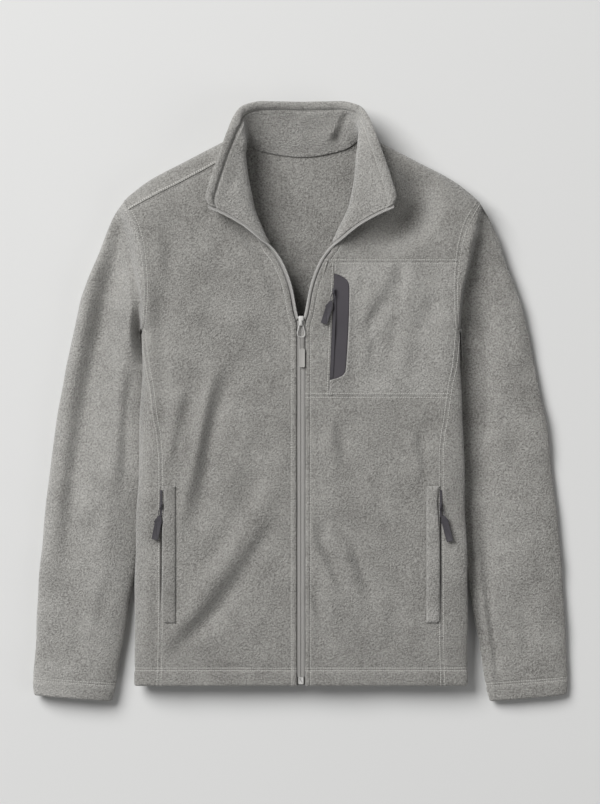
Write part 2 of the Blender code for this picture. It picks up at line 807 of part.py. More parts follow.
def round_corners(corners, radius, count=3):
    """An outline with each corner turned in an arc."""
    outline = []
    for i, corner in enumerate(corners):
        here = np.array(corner, float)
        before = np.array(corners[i - 1], float) - here
        after = np.array(corners[(i + 1) % len(corners)], float) - here
        before = before / np.linalg.norm(before) * radius
        after = after / np.linalg.norm(after) * radius
        for k in range(count + 1):
            t = k / count
            start = (1 - t) ** 2 * (here + before)
            outline.append(tuple(start + 2 * t * (1 - t) * here + t * t * (here + after)))
    return outline


def pivot(name, x, y, z, turn):
    """An empty on a pull's pivot, its -Y along the pull."""
    frame = bpy.data.objects.new(name, None)
    frame.location = Vector((x, y, z)) * MM
    frame.rotation_euler.z = turn
    parts.objects.link(frame)
    return frame


def slider_of_boxes(name, mat, rows, front, parent=None):
    """A slider joined from boxes, the first one its body."""
    body = None
    for number, (half, low_y, high_y, low_z, high_z) in enumerate(rows):
        low = (-half, low_y, front + low_z)
        high = (half, high_y, front + high_z)
        if body is None:
            body = box(name, mat, low, high, parent)
        else:
            join(body, box(f"{name}_part_{number}", mat, low, high, parent))
    return body


def make_main_pull(metal, tab_mat):
    """Slider, wire loop, link and tab of the main zip."""
    front = front_height(SLIDER_Y)
    slider_of_boxes("zip_slider", metal, SLIDER, front)
    frame = pivot("main_pivot", *MAIN_PIVOT, front + PIVOT_RISE, 0.0)
    loop_curve("pull_ring", metal, frame, RING, RING_WIRE)
    plate("pull_link", tab_mat, frame, round_corners(LINK, LINK_CORNER), TAB_THICK)
    plate("pull_tab", tab_mat, frame, round_corners(TAB, TAB_CORNER, 4), TAB_THICK)


def make_pocket_pull(prefix, dark, x, y, turn, length, foot):
    """A small slider on a pocket's chain with its cord loop and tapering tab."""
    base = front_z(x, y) + foot
    frame = pivot(prefix + "_pivot", x, y, base + PIVOT_RISE, math.radians(turn))
    seat = pivot(prefix + "_seat", x, y, 0.0, 0.0)
    slider_of_boxes(prefix + "_slider", dark, POCKET_SLIDER, base, seat)
    loop_curve(prefix + "_loop", dark, frame, POCKET_LOOP, POCKET_WIRE)
    shoulder = ((4.3, -18.0), (4.4, -length), (-4.4, -length), (-4.3, -18.0))
    tab = ((-2.2, -11.8), (2.2, -11.8), *shoulder)
    plate(prefix + "_pull", dark, frame, round_corners(tab, PULL_CORNER, 2), PULL_THICK)


def make_pockets(dark):
    low, high, width = CHEST_CHAIN
    chain = []
    for y in steps((low, high), 60):
        x = strip_seam_x(y) + CHEST_CHAIN_ASIDE
        chain.append(np.array([x, y, front_z(x, y) + CHEST_CHAIN_RISE]))
    bar("chest_chain", dark, chain, width, POCKET_CHAIN_THICK)
    for name, x, y, turn, length, foot in POCKET_PULLS:
        make_pocket_pull(name, dark, x, y, turn, length, foot)
        if name != "chest":
            low, high, width = HAND_CHAIN
            chain = [np.array([x, y, front_z(x, y) + HAND_CHAIN_RISE]) for y in (low, high)]
            bar(name + "_chain", dark, chain, width, POCKET_CHAIN_THICK)


for old in list(bpy.data.objects):
    bpy.data.objects.remove(old, do_unlink=True)

parts = bpy.data.collections.new("fleece_zip_jacket")
cutters = bpy.data.collections.new("cutters")
bpy.context.scene.collection.children.link(parts)
bpy.context.scene.collection.children.link(cutters)

fleece = material("fleece", (0.30, 0.29, 0.27), 0.95)
zip_tape = material("zip_tape", (0.33, 0.32, 0.30), 0.8)
zip_light = material("zip_light", (0.40, 0.39, 0.37), 0.6)
slider_metal = material("slider_metal", (0.42, 0.41, 0.39), 0.45, 0.4)
pull_rubber = material("pull_rubber", (0.36, 0.35, 0.33), 0.6)
dark_cloth = material("dark_cloth", (0.075, 0.07, 0.085), 0.7)
dark_trim = material("dark_trim", (0.07, 0.065, 0.075), 0.55)

make_back(fleece)
make_fronts(fleece, dark_cloth)
for name, side in (("right", -1), ("left", 1)):
    make_side("side_" + name, fleece, side)
    make_sleeve("sleeve_" + name, fleece, side)
    make_welt("welt_" + name, fleece, side)
make_collar(fleece)
make_main_zip(zip_light, zip_tape)
make_main_pull(slider_metal, pull_rubber)
make_pockets(dark_trim)
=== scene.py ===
import math

import bmesh
import bpy
import numpy as np
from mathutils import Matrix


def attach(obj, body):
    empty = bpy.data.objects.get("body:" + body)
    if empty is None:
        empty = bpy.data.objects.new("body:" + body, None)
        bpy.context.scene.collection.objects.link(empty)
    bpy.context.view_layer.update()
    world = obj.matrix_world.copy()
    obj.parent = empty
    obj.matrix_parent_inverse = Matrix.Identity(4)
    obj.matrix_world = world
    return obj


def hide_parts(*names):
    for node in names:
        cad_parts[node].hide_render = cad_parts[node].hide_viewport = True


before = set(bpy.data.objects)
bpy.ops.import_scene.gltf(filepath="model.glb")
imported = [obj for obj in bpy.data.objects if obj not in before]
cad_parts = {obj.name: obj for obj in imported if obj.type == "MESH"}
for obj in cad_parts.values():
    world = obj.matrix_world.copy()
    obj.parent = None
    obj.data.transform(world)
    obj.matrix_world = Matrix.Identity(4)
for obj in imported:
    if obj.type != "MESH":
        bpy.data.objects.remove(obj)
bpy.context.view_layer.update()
bpy.ops.object.select_all(action="DESELECT")
mm = 0.001
print("frame loaded:", len(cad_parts), "nodes")

# lengths are in millimetres; the body and the sleeves are the same on both sides of the zip,
# so the tables give the wearer's left half, +X, and side = -1 mirrors it

# how the jacket lies
lay = {
    "foldHeight": 24.0,      # height of the fold at each side
    "foldRaised": 7.0,       # how much higher it stands beside the wearer's left sleeve
    "sideReach": 45.0,       # how far in the front takes to level out
    "sleeveSideReach": 28.0,      # the same beside the wearer's left sleeve
    "underReach": 28.0,      # the same underneath
    "shoulderLean": 0.88,    # distance from the shoulder's fold for each millimetre of y
    "blend": 14.0,           # rounds the corner of the side and the shoulder
    "slopeStep": 0.5,        # over which slopes are measured
    "foldBlend": 0.35,       # how gradually the top's folds give way to a plain underside
    # x and y where the raised fold begins and ends, each from none of it to all of it
    "raisedX": (120, 180), "raisedY": ((-350, -260), (190, 130)),
    "fleece": 3.0,           # thickness of the cloth
    "seamGap": 0.04,         # between two pieces at a seam
    "grain": 3.0,            # size of a mesh cell away from the seams
}
bothSides = {"Right": -1, "Left": 1}
hemY, underarmY, shoulderTipY = -370.0, 93.0, 260.0
yokeSeamY, chestSeamY, frontTopY, vTopY = 181.0, 7.8, 322.0, 203.0
neckHalf = 81.5

# y, half width, height of the front
bodyRows = [
    (-370, 216, 31), (-330, 216.4, 36), (-289, 216.5, 39), (-220, 216, 41.4), (-128, 213, 42),
    (0, 209, 42),
    (50, 205.6, 42), (93, 205.4, 42), (105, 214, 42), (118, 225, 42), (135, 238, 42),
    (150, 246, 42), (190, 254, 42), (225, 258, 42), (270, 262, 42),
]
# x, y of the shoulder's fold
shoulderLine = [
    (0, 352), (70, 351), (85, 346), (103, 337), (150, 312.5), (198, 287), (220, 270.5),
    (237, 255), (262, 225),
]
# y, x of the seams and of the front's edge
sideSeam = [
    (-370, 184.5), (-289, 182.5), (-77, 182), (-43, 184.5), (-24, 188), (20, 194),
    (45, 198.5), (73, 201.3), (93, 203.2),
]
armhole = [
    (93, 205.4), (99, 203.9), (118, 202.6), (147.5, 201.5), (187, 204), (225.5, 212),
    (249, 224), (260, 231),
]
shoulderSeam = [(224.0, 249.0), (80.0, 325.6)]     # x, y at the armhole and at the neck
frontEdge = [
    (-370, 5.6), (98, 5.6), (105, 7.2), (112, 9.4), (147.5, 16.3), (180, 28.5), (203, 44.5),
    (213, 49.3), (223, 54.6), (249, 65.4), (272, 71), (293, 74.2), (318, 77.5), (335, 80),
]
# x, y of the back's edge at the neck
backNeck = [(0, 320), (20, 321), (40, 325.5), (61, 334), (70, 340), (76, 344.5), (81.5, 347)]
# y, x of the strip's seam and of the pocket window's edge
stripSeam = [(7.8, 36.4), (181, 43.8)]
windowEdge = [
    (28, 38.2), (31, 49), (35.5, 56), (43, 58.4), (148, 62.8), (155, 61.5), (160, 57),
    (166, 44.8),
]


def smoothStep(t):
    t = np.clip(t, 0, 1)
    return t * t * (3 - 2 * t)


def ramp(value, start, end):
    # 0 before start, 1 past end
    return smoothStep((value - start) / (end - start))


def within(value, low, high):
    # 1 inside and 0 outside, each end given as the place of the 0 and of the 1
    return ramp(value, *low) * ramp(value, *high)


def unit(vectors):
    return vectors / np.maximum(np.linalg.norm(vectors, axis=-1, keepdims=True), 1e-9)


def runAlong(points):
    # length of the way from the first point to each
    return np.r_[0, np.cumsum(np.linalg.norm(np.diff(points, axis=0), axis=1))]


def readAt(at, run, values):
    # the values that go with run, read at the lengths in at
    return np.stack([np.interp(at, run, values[:, k]) for k in range(values.shape[1])], -1)


def hermite(points, tangents, knots, at):
    # cubic through points at knots, read at the values in at
    i = np.clip(np.searchsorted(knots, at) - 1, 0, len(knots) - 2)
    step = knots[i + 1] - knots[i]
    shape = np.shape(at) + (1,) * (points.ndim - 1)
    t = ((at - knots[i]) / step).reshape(shape)
    step = step.reshape(shape)
    start = (1 + 2 * t) * (1 - t) ** 2 * points[i] + t * (1 - t) ** 2 * step * tangents[i]
    end = t * t * (3 - 2 * t) * points[i + 1] + t * t * (t - 1) * step * tangents[i + 1]
    return start + end


def smoothCurve(rows, column=1):
    # a smooth curve through the rows that never swings past them
    xs = np.array([row[0] for row in rows], float)
    ys = np.array([row[column] for row in rows], float)
    rises = np.diff(ys) / np.diff(xs)
    slopes = np.zeros(len(xs))
    slopes[0], slopes[-1] = rises[0], rises[-1]
    for i in range(1, len(xs) - 1):
        if rises[i - 1] * rises[i] > 0:
            slopes[i] = 2 / (1 / rises[i - 1] + 1 / rises[i])

    def curve(x):
        return hermite(ys, slopes, xs, np.clip(np.asarray(x, float), xs[0], xs[-1]))

    return curve


halfWidth = smoothCurve(bodyRows)
frontHeight = smoothCurve(bodyRows, 2)
shoulderY = smoothCurve(shoulderLine)
sideSeamX = smoothCurve(sideSeam)
armholeX = smoothCurve(armhole)
frontEdgeX = smoothCurve(frontEdge)
stripSeamX = smoothCurve(stripSeam)
windowX = smoothCurve(windowEdge)
backNeckY = smoothCurve(backNeck)


def shoulderSeamX(y):
    (outX, outY), (neckX, neckY) = shoulderSeam
    return outX + (np.asarray(y, float) - outY) * (neckX - outX) / (neckY - outY)


def outerEdgeX(y):
    # the front's edge away from the zip: side seam, armhole, shoulder seam
    y = np.asarray(y, float)
    upper = np.where(y <= shoulderSeam[0][1], armholeX(y), shoulderSeamX(y))
    return np.where(y <= underarmY, sideSeamX(y), upper)


def rise(share):
    return np.sqrt(1 - (1 - np.clip(share, 0, 1)) ** 2)


def inside(x, y):
    # distance from the folded edge of the body
    side = halfWidth(y) - np.abs(x)
    top = (shoulderY(np.abs(x)) - y) * lay["shoulderLean"]
    blend = np.clip(lay["blend"] - np.abs(side - top), 0, None) / lay["blend"]
    return np.minimum(side, top) - blend * blend * lay["blend"] / 4


def besideSleeve(x, y):
    # 1 where the edge stands against the wearer's left sleeve, 0 elsewhere
    return ramp(x, *lay["raisedX"]) * within(y, *lay["raisedY"])


def bodyPoint(x, y, lift=0.0, under=False, side=1):
    # a point of the body's outer surface moved out by lift
    x, y = np.broadcast_arrays(np.asarray(x, float), np.asarray(y, float))
    raised = besideSleeve(x * side, y)
    fold, high = lay["foldHeight"] + raised * lay["foldRaised"], frontHeight(y)
    narrower = (lay["sideReach"] - lay["sleeveSideReach"]) * raised
    reach = lay["underReach"] if under else lay["sideReach"] - narrower
    deep = inside(x, y)
    z = fold * (1 - rise(deep / reach)) if under else fold + (high - fold) * rise(deep / reach)
    share = np.clip(deep / reach, 1e-3, 1)
    steep = (fold if under else high - fold) / reach * (1 - share) / rise(share)
    near = lay["slopeStep"]
    inX = inside(x + near, y) - inside(x - near, y)
    inY = inside(x, y + near) - inside(x, y - near)
    length = np.maximum(np.hypot(inX, inY), 1e-9)
    up = np.full_like(z, -1.0 if under else 1.0)
    normal = unit(np.stack([-steep * inX / length, -steep * inY / length, up], -1))
    return np.stack([x, y, z], -1) + np.broadcast_to(lift, x.shape)[..., None] * normal


# each fold is the line where the cloth falls away from the light: its path x, y with the high
# side on the right of the way along it, how steep it is there, and how wide the ridge above
# it and the trough below it are
frontFolds = [
    ([(-190, 190), (-190, 130), (-190, 60), (-186, -10), (-181, -84)], 0.50, 12, 16),
    ([(136, 196), (133, 140), (128, 84), (118, 20)], -0.42, 13, 14),
    ([(-30, -134), (-46, -163), (-73, -203), (-96, -235), (-122, -271), (-154, -304),
      (-188, -338)], 0.76, 20, 15),
    ([(-26, -40), (-46, -104), (-88, -172), (-138, -248)], -0.38, 17, 17),
    ([(-88, 70), (-108, 26), (-124, -37), (-131, -76), (-138, -111), (-146, -148), (-152, -190)],
     0.95, 13, 18),
    ([(-78, 76), (-102, 8), (-124, -66), (-140, -150)], 0.12, 40, 20),
    ([(-146, 26), (-160, -37), (-171, -92)], 0.62, 12, 11),
    ([(-192, -20), (-192, -120), (-193, -240), (-193, -400)], 0.34, 12, 8),
    ([(-58, 188), (-45, 156), (-31, 120)], 0.34, 9, 9),
    ([(-182, 244), (-179, 190), (-174, 132)], 0.30, 10, 14),
    ([(-66, -342), (-84, -340.5), (-102, -341)], 0.60, 4, 5),
    ([(-60, -36), (-72, -80), (-92, -124)], 0.16, 16, 14),
    ([(-24, -226), (-40, -268), (-60, -312)], 0.15, 14, 12),
    ([(-112, 262), (-134, 236), (-146, 206)], 0.16, 12, 12),
    ([(-112, 150), (-124, 118), (-132, 84)], 0.14, 16, 14),
    ([(130, 188), (121, 164), (106, 138), (90, 112), (78, 78)], 0.46, 13, 14),
    ([(92, 96), (88, 66), (84, 30)], 0.30, 10, 12),
    ([(80, 176), (76, 158), (73, 136)], 0.30, 7, 8),
    ([(168, 150), (158, 112), (140, 84)], 0.26, 16, 14),
    ([(13, -146), (24, -186), (38, -218), (56, -252)], 0.75, 9, 9),
    ([(28, -156), (43, -188), (60, -218)], -0.48, 9, 9),
    ([(19, -232), (30, -262), (46, -296)], -0.45, 9, 9),
    ([(8, -236), (16, -262), (26, -298)], 0.50, 8, 6),
    ([(54, -170), (70, -212), (88, -270)], 0.62, 13, 14),
    ([(41, -14), (47, -50), (50, -92)], 0.55, 11, 11),
    ([(147, -30), (156, -78), (158, -110)], 0.50, 10, 9),
    ([(104, -70), (96, -112), (94, -158)], 0.22, 14, 14),
    ([(120, -250), (112, -288), (108, -332)], 0.22, 13, 12),
    ([(150, 246), (132, 222), (120, 200)], 0.14, 13, 12),
]
sleeveFolds = {
    -1: [
        ([(-240, 226), (-257, 170), (-271, 106), (-284, 41), (-300, -63), (-309, -154),
          (-315, -240)], 0.36, 11, 18),
        ([(-224, 54), (-231, -24), (-234, -76), (-238, -132)], 0.50, 12, 10),
        ([(-262, -70), (-270, -130), (-278, -196)], 0.18, 14, 12),
        ([(-252, -210), (-262, -262), (-272, -320)], 0.24, 13, 12),
        ([(-292, -262), (-296, -300), (-298, -340)], 0.16, 10, 10),
        ([(-246, 20), (-256, -10), (-262, -44)], 0.16, 12, 10),
    ],
    1: [
        ([(252, 196), (250, 150), (244, 104)], 0.16, 12, 12),
        ([(286, 130), (290, 84), (292, 30)], 0.18, 14, 12),
        ([(262, 10), (266, -40), (276, -96)], 0.18, 14, 14),
        ([(226, -120), (233, -190), (240, -254), (249, -322), (258, -400)], 0.85, 7, 8),
        ([(300, -140), (306, -196), (306, -250)], 0.16, 12, 12),
        ([(276, -236), (286, -288), (290, -338)], 0.16, 12, 11),
    ],
}


def alongPath(points, count):
    # points spread evenly along a smooth line through the given ones
    points = np.array(points, float)
    chord = runAlong(points)
    tangents = np.gradient(points, chord, axis=0)
    fine = hermite(points, tangents, chord, np.linspace(0, chord[-1], 8 * count))
    run = runAlong(fine)
    return readAt(np.linspace(0, run[-1], count), run, fine)


foldLook = {
    "points": 18,            # that a path is read at
    "fade": 0.3,             # share of the length over which a fold fades out at each end
    "uneven": 0.2,           # how much steepness and width wander along it
    "steepWander": 9, "widthWander": 7,      # how fast they do
    "width": 0.9,            # share of the stated widths
}


def foldLift(x, y, folds):
    # how far the folds move the cloth in or out at each place
    lift = np.zeros(np.shape(x))
    for number, (path, steep, ridge, trough) in enumerate(folds):
        share, offset = nearest(x, y, alongPath(path, foldLook["points"]))
        ends = ramp(share, 0, foldLook["fade"]) * ramp(share, 1, 1 - foldLook["fade"])
        wander = foldLook["uneven"] * np.sin(foldLook["steepWander"] * share + number)
        slope = steep * (1 + wander)
        width = np.where(offset < 0, ridge, trough)
        wander = foldLook["uneven"] * np.sin(foldLook["widthWander"] * share + 2 * number)
        width = width * (foldLook["width"] + wander)
        lift -= slope * offset * np.exp(-(offset / width) ** 2) * ends
    return lift


# a hollow falls away before the line and climbs back slowly beyond it, on the left of the
# way along: path x, y; depths along it; reach of the fall and of the climb
bodyHollows = [
    ([(128, 322), (146, 294), (150, 250), (120, 219), (82, 205)], (4, 16, 25, 21, 6), 32, 38),
    ([(-46, 196), (-64, 211), (-88, 229)], (3, 9, 4), 13, 16),
    ([(-182.0, -106), (-181.4, -160), (-181.4, -220), (-181.8, -276)], (0, 5, 5, 4, 0), 1.9, 1.8),
    ([(182.0, -106), (181.4, -160), (181.4, -220), (181.8, -276)], (0, 5, 5, 4, 0), 1.8, 1.9),
]
sleeveHollows = {
    -1: [
        ([(-211, 124), (-209.5, 96), (-207, 54)], (6, 19, 5), 15, 3.5),
        ([(-236, 254), (-229, 220), (-221, 186), (-213, 150), (-207, 120)],
         (7, 14, 15, 10, 2), 30, 3.5),
        ([(-227, 250), (-241, 184), (-257, 124), (-272, 41), (-288, -63), (-299, -154),
          (-307, -240)], (12, 20, 18, 14, 11, 8, 2), 27, 46),
    ],
    1: [
        ([(236, 250), (228, 214), (220, 180), (212, 143), (207, 106), (206, 60), (207, 0),
          (209, -70)], (10, 18, 23, 25, 24, 20, 12, 3), 2.6, 60),
    ],
}


def nearest(x, y, line):
    # share of the way along the line and signed distance from it
    best = np.full(np.shape(x), 1e9)
    share = np.zeros(np.shape(x))
    offset = np.zeros(np.shape(x))
    for i, (start, end) in enumerate(zip(line, line[1:])):
        run = end - start
        length = math.hypot(*run)
        t = np.clip(((x - start[0]) * run[0] + (y - start[1]) * run[1]) / length ** 2, 0, 1)
        awayX, awayY = x - start[0] - t * run[0], y - start[1] - t * run[1]
        away = np.hypot(awayX, awayY)
        closer = away < best
        best = np.where(closer, away, best)
        share = np.where(closer, (i + t) / (len(line) - 1), share)
        cross = np.sign(run[0] * awayY - run[1] * awayX)
        offset = np.where(closer, away * cross, offset)
    return share, offset


def hollowDepth(x, y, hollows):
    # how deep the hollows are at each place
    depth = np.zeros(np.shape(x))
    for path, depths, fall, climb in hollows:
        share, offset = nearest(x, y, alongPath(path, foldLook["points"]))
        deep = np.interp(share, np.linspace(0, 1, len(depths)), depths)
        side = np.where(offset < 0, smoothStep(1 + offset / fall), smoothStep(1 - offset / climb))
        depth = np.maximum(depth, deep * side)
    return depth


# the cloth's slight unevenness: waves of all directions and lengths, the longer the higher
waveLook = {
    "seed": 7, "count": 22, "shortest": 26, "longest": 150, "size": 0.22, "sizeAt": 90,
}
waveRandom = np.random.default_rng(waveLook["seed"])
waveTurns = waveRandom.uniform(0, 2 * math.pi, (waveLook["count"], 2))
waveLengths = waveRandom.uniform(waveLook["shortest"], waveLook["longest"], waveLook["count"])


def waves(x, y, size=waveLook["size"]):
    lift = np.zeros(np.shape(x))
    for (turn, phase), length in zip(waveTurns, waveLengths):
        along = x * math.cos(turn) + y * math.sin(turn)
        high = size * length / waveLook["sizeAt"]
        lift += high * np.sin(2 * math.pi * along / length + phase)
    return lift


# distances of the rows of points beside an edge, closer where the cloth bends more
besideEdge = [0, 0.3, 0.7, 1.3, 2.0, 2.6, 3.3, 4.4, 6.0, 8.0]
besideZip = [0, 0.4, 1.0, 2.2, 3.8, 5.4, 6.3, 7.0, 7.7, 8.6, 10.2]
besideHem = [
    0, 0.3, 0.8, 1.5, 2.6, 5.0, 8.0, 11.0, 14.0, 17.0, 19.2, 20.2, 21.2, 22.0, 22.8, 23.6, 24.6,
    26.5,
]
# how the cloth is shaped beside each kind of edge: radius of its roll, depth and width of its
# dip, rows of stitches at these distances and the depth of their grooves, and the puff before
# the first row where the cloth is folded under
plainEdge = {
    "points": [0], "roll": 0.0, "dip": 0.0, "dipWide": 3.0, "stitches": [], "groove": 0.0,
    "puff": 0.0,
}
edges = {
    "plain": plainEdge,
    "seam": {**plainEdge, "points": besideEdge, "roll": 0.35, "dip": 0.3, "dipWide": 0.9,
             "stitches": [2.6], "groove": 0.5},
    "felled": {**plainEdge, "points": besideEdge, "roll": 0.3, "dip": -0.9, "dipWide": 4.6,
               "stitches": [1.3, 3.3, 4.4], "groove": 0.08},
    "zip": {**plainEdge, "points": besideZip, "roll": 1.3, "stitches": [7.0], "groove": 0.8,
            "puff": 0.7},
    "hem": {**plainEdge, "points": besideHem, "roll": 2.4, "stitches": [20.2, 23.6],
            "groove": 0.7, "puff": 0.7},
    "window": {**plainEdge, "points": besideEdge, "roll": 2.4, "dip": -1.7, "dipWide": 4.6},
}
# how the stitches pull the cloth in along their rows
pucker = {
    "depth": 0.22, "wide": 2.6, "fast": 0.62, "slow": 0.11, "grooveWide": 0.8, "puffWide": 2.5,
}
seamStitch = besideEdge.index(edges["seam"]["stitches"][0])      # column of a seam's stitches


def edgeLift(d, along, kind):
    # how far an edge at the distance d shapes the cloth, with along counted down its length
    edge = edges[kind]
    lift = np.zeros(np.shape(d))
    if edge["roll"]:
        lift -= edge["roll"] * (1 - rise(d / edge["roll"]))
    lift -= edge["dip"] * np.exp(-(d / edge["dipWide"]) ** 2)
    for row in edge["stitches"]:
        lift -= edge["groove"] * np.exp(-((d - row) / pucker["grooveWide"]) ** 2)
        wander = 2 * np.sin(along * pucker["slow"] + row)
        pulled = 0.5 + 0.5 * np.sin(along * pucker["fast"] + wander)
        lift -= pucker["depth"] * pulled * np.exp(-((d - row) / pucker["wide"]) ** 2)
    if edge["puff"]:
        inner, wide = edge["stitches"][0], pucker["puffWide"]
        lift += edge["puff"] * smoothStep(d / wide) * smoothStep((inner - d) / wide)
    return lift


def evenSteps(start, end, step):
    # values from start to end, no further apart than step
    count = max(1, math.ceil(abs(end - start) / step))
    return np.linspace(start, end, count + 1)


def nearestTo(values, value):
    return int(np.argmin(np.abs(np.asarray(values) - value)))


def gradedSteps(low, high, atLow, atHigh, step):
    # values from low to high that keep the given distances from each end
    near = [low + d for d in atLow]
    far = [high - d for d in reversed(atHigh)]
    return np.array(near[:-1] + list(evenSteps(near[-1], far[0], step)) + far[1:])


def makeObject(name, points, faces, mat):
    mesh = bpy.data.meshes.new(name)
    points = np.asarray(points, float).reshape(-1, 3) * mm
    mesh.from_pydata(points.tolist(), [], faces if isinstance(faces, list) else faces.tolist())
    mesh.materials.append(mat)
    mesh.shade_smooth()
    obj = bpy.data.objects.new(name, mesh)
    bpy.context.scene.collection.objects.link(obj)
    return obj


def volumeOf(mesh):
    # below 0 where the faces point inwards
    mesh.calc_loop_triangles()
    points = np.empty(len(mesh.vertices) * 3)
    mesh.vertices.foreach_get("co", points)
    corners = np.empty(len(mesh.loop_triangles) * 3, int)
    mesh.loop_triangles.foreach_get("vertices", corners)
    a, b, c = points.reshape(-1, 3)[corners.reshape(-1, 3)].transpose(1, 0, 2)
    return np.einsum("ij,ij->i", a, np.cross(b, c)).sum() / 6


def makeCloth(name, outer, inner, mat, tube=False, cells=None):
    # a closed wall of cloth between two grids of points
    rows, columns = outer.shape[:2]
    index = np.arange(rows * columns).reshape(rows, columns)
    if tube:
        index = np.concatenate([index, index[:, :1]], 1)
    quads = np.stack([index[:-1, :-1], index[:-1, 1:], index[1:, 1:], index[1:, :-1]], -1)
    if cells is not None:
        quads = quads[cells]
    quads = quads.reshape(-1, 4)
    starts = quads.ravel()
    ends = np.roll(quads, -1, axis=1).ravel()
    total = rows * columns
    rim = ~np.isin(starts * total + ends, ends * total + starts)
    starts, ends = starts[rim], ends[rim]
    walls = np.stack([ends, starts, total + starts, total + ends], -1)
    faces = np.concatenate([quads, total + quads[:, ::-1], walls])
    points = np.concatenate([outer.reshape(-1, 3), inner.reshape(-1, 3)])
    used = np.unique(faces)
    renumber = np.zeros(2 * total, int)
    renumber[used] = np.arange(len(used))
    obj = makeObject(name, points[used], renumber[faces], mat)
    if volumeOf(obj.data) < 0:
        obj.data.flip_normals()
    return obj


def gridNormals(grid, tube=False):
    # directions square to the cloth at each point of a grid
    down = np.gradient(grid, axis=0)
    if tube:
        across = np.roll(grid, -1, axis=1) - np.roll(grid, 1, axis=1)
    else:
        across = np.gradient(grid, axis=1)
    return unit(np.cross(across, down))


def flipX(grid, side):
    return grid * np.array([side, 1, 1])


# a stitch is a short rounded thread, sunk at its ends
stitchLook = {
    "pitch": 3.0, "length": 2.6, "radius": 0.64, "raised": 0.4, "sides": 5,
    # share of half the length, share of the radius, drop
    "rings": [(-1, 0.35, -0.25), (-0.6, 0.95, 0.0), (0.6, 0.95, 0.0), (1, 0.35, -0.25)],
}


def tubeFaces(rows, count):
    # rings of points joined in a row, with both ends closed
    faces = [tuple(range(count)), tuple(range((rows - 1) * count, rows * count))[::-1]]
    for row in range(rows - 1):
        for k in range(count):
            a, b = row * count + k, row * count + (k + 1) % count
            faces.append((a, a + count, b + count, b))
    return faces


def roundedBar(long, wide, high, rings, sides):
    # a short bar along x
    points = []
    for share, size, drop in rings:
        for k in range(sides):
            turn = 2 * math.pi * k / sides
            points.append((share * long, wide * size * math.cos(turn),
                           high * size * math.sin(turn) + drop))
    return np.array(points), tubeFaces(len(rings), sides)


def placeCopies(name, template, spots, alongs, ups, mat):
    # one mesh of many copies of a small shape, each turned along its line
    shape, faces = template
    alongs = unit(alongs)
    asides = unit(np.cross(ups, alongs))
    ups = np.cross(alongs, asides)
    points = (
        spots[:, None] + shape[None, :, 0:1] * alongs[:, None]
        + shape[None, :, 1:2] * asides[:, None] + shape[None, :, 2:3] * ups[:, None]
    )
    allFaces = [
        tuple(i + n * len(shape) for i in face) for n in range(len(spots)) for face in faces
    ]
    return makeObject(name, points, allFaces, mat)


stitchRows = []      # lines of points with their normals, sewn at the end


def addStitchRow(points, normals):
    stitchRows.append((np.array(points), np.array(normals)))


def sewAcross(outer, normals, levels, start, kind, sign=1):
    # the stitches of an edge that runs along the rows of a grid
    for distance in edges[kind]["stitches"]:
        row = nearestTo(levels, start + sign * distance)
        addStitchRow(outer[row], normals[row])


def spread(points, normals, pitch):
    # places, directions and normals of the stitches along a row
    run = runAlong(points)
    count = max(2, int(run[-1] / pitch))
    at = (np.arange(count) + 0.5) * run[-1] / count
    alongs = readAt(at + pitch / 3, run, points) - readAt(at - pitch / 3, run, points)
    return readAt(at, run, points), alongs, unit(readAt(at, run, normals))


def newGroup(name, inputs, outputs):
    group = bpy.data.node_groups.new(name, "ShaderNodeTree")
    for label, kind, value in inputs:
        socket = group.interface.new_socket(name=label, in_out="INPUT", socket_type=kind)
        if value is not None:
            socket.default_value = value
    for label, kind in outputs:
        group.interface.new_socket(name=label, in_out="OUTPUT", socket_type=kind)
    return group, group.nodes.new("NodeGroupInput"), group.nodes.new("NodeGroupOutput")


def addNode(tree, kind, place, inputs=None, **values):
    node = tree.nodes.new(kind)
    node.location = place
    for key, value in values.items():
        setattr(node, key, value)
    for label, value in (inputs or {}).items():
        node.inputs[label].default_value = value
    return node


napLook = {"fibreShare": 0.4, "cloudShare": 0.35, "darkest": 0.64, "lightest": 1.11}


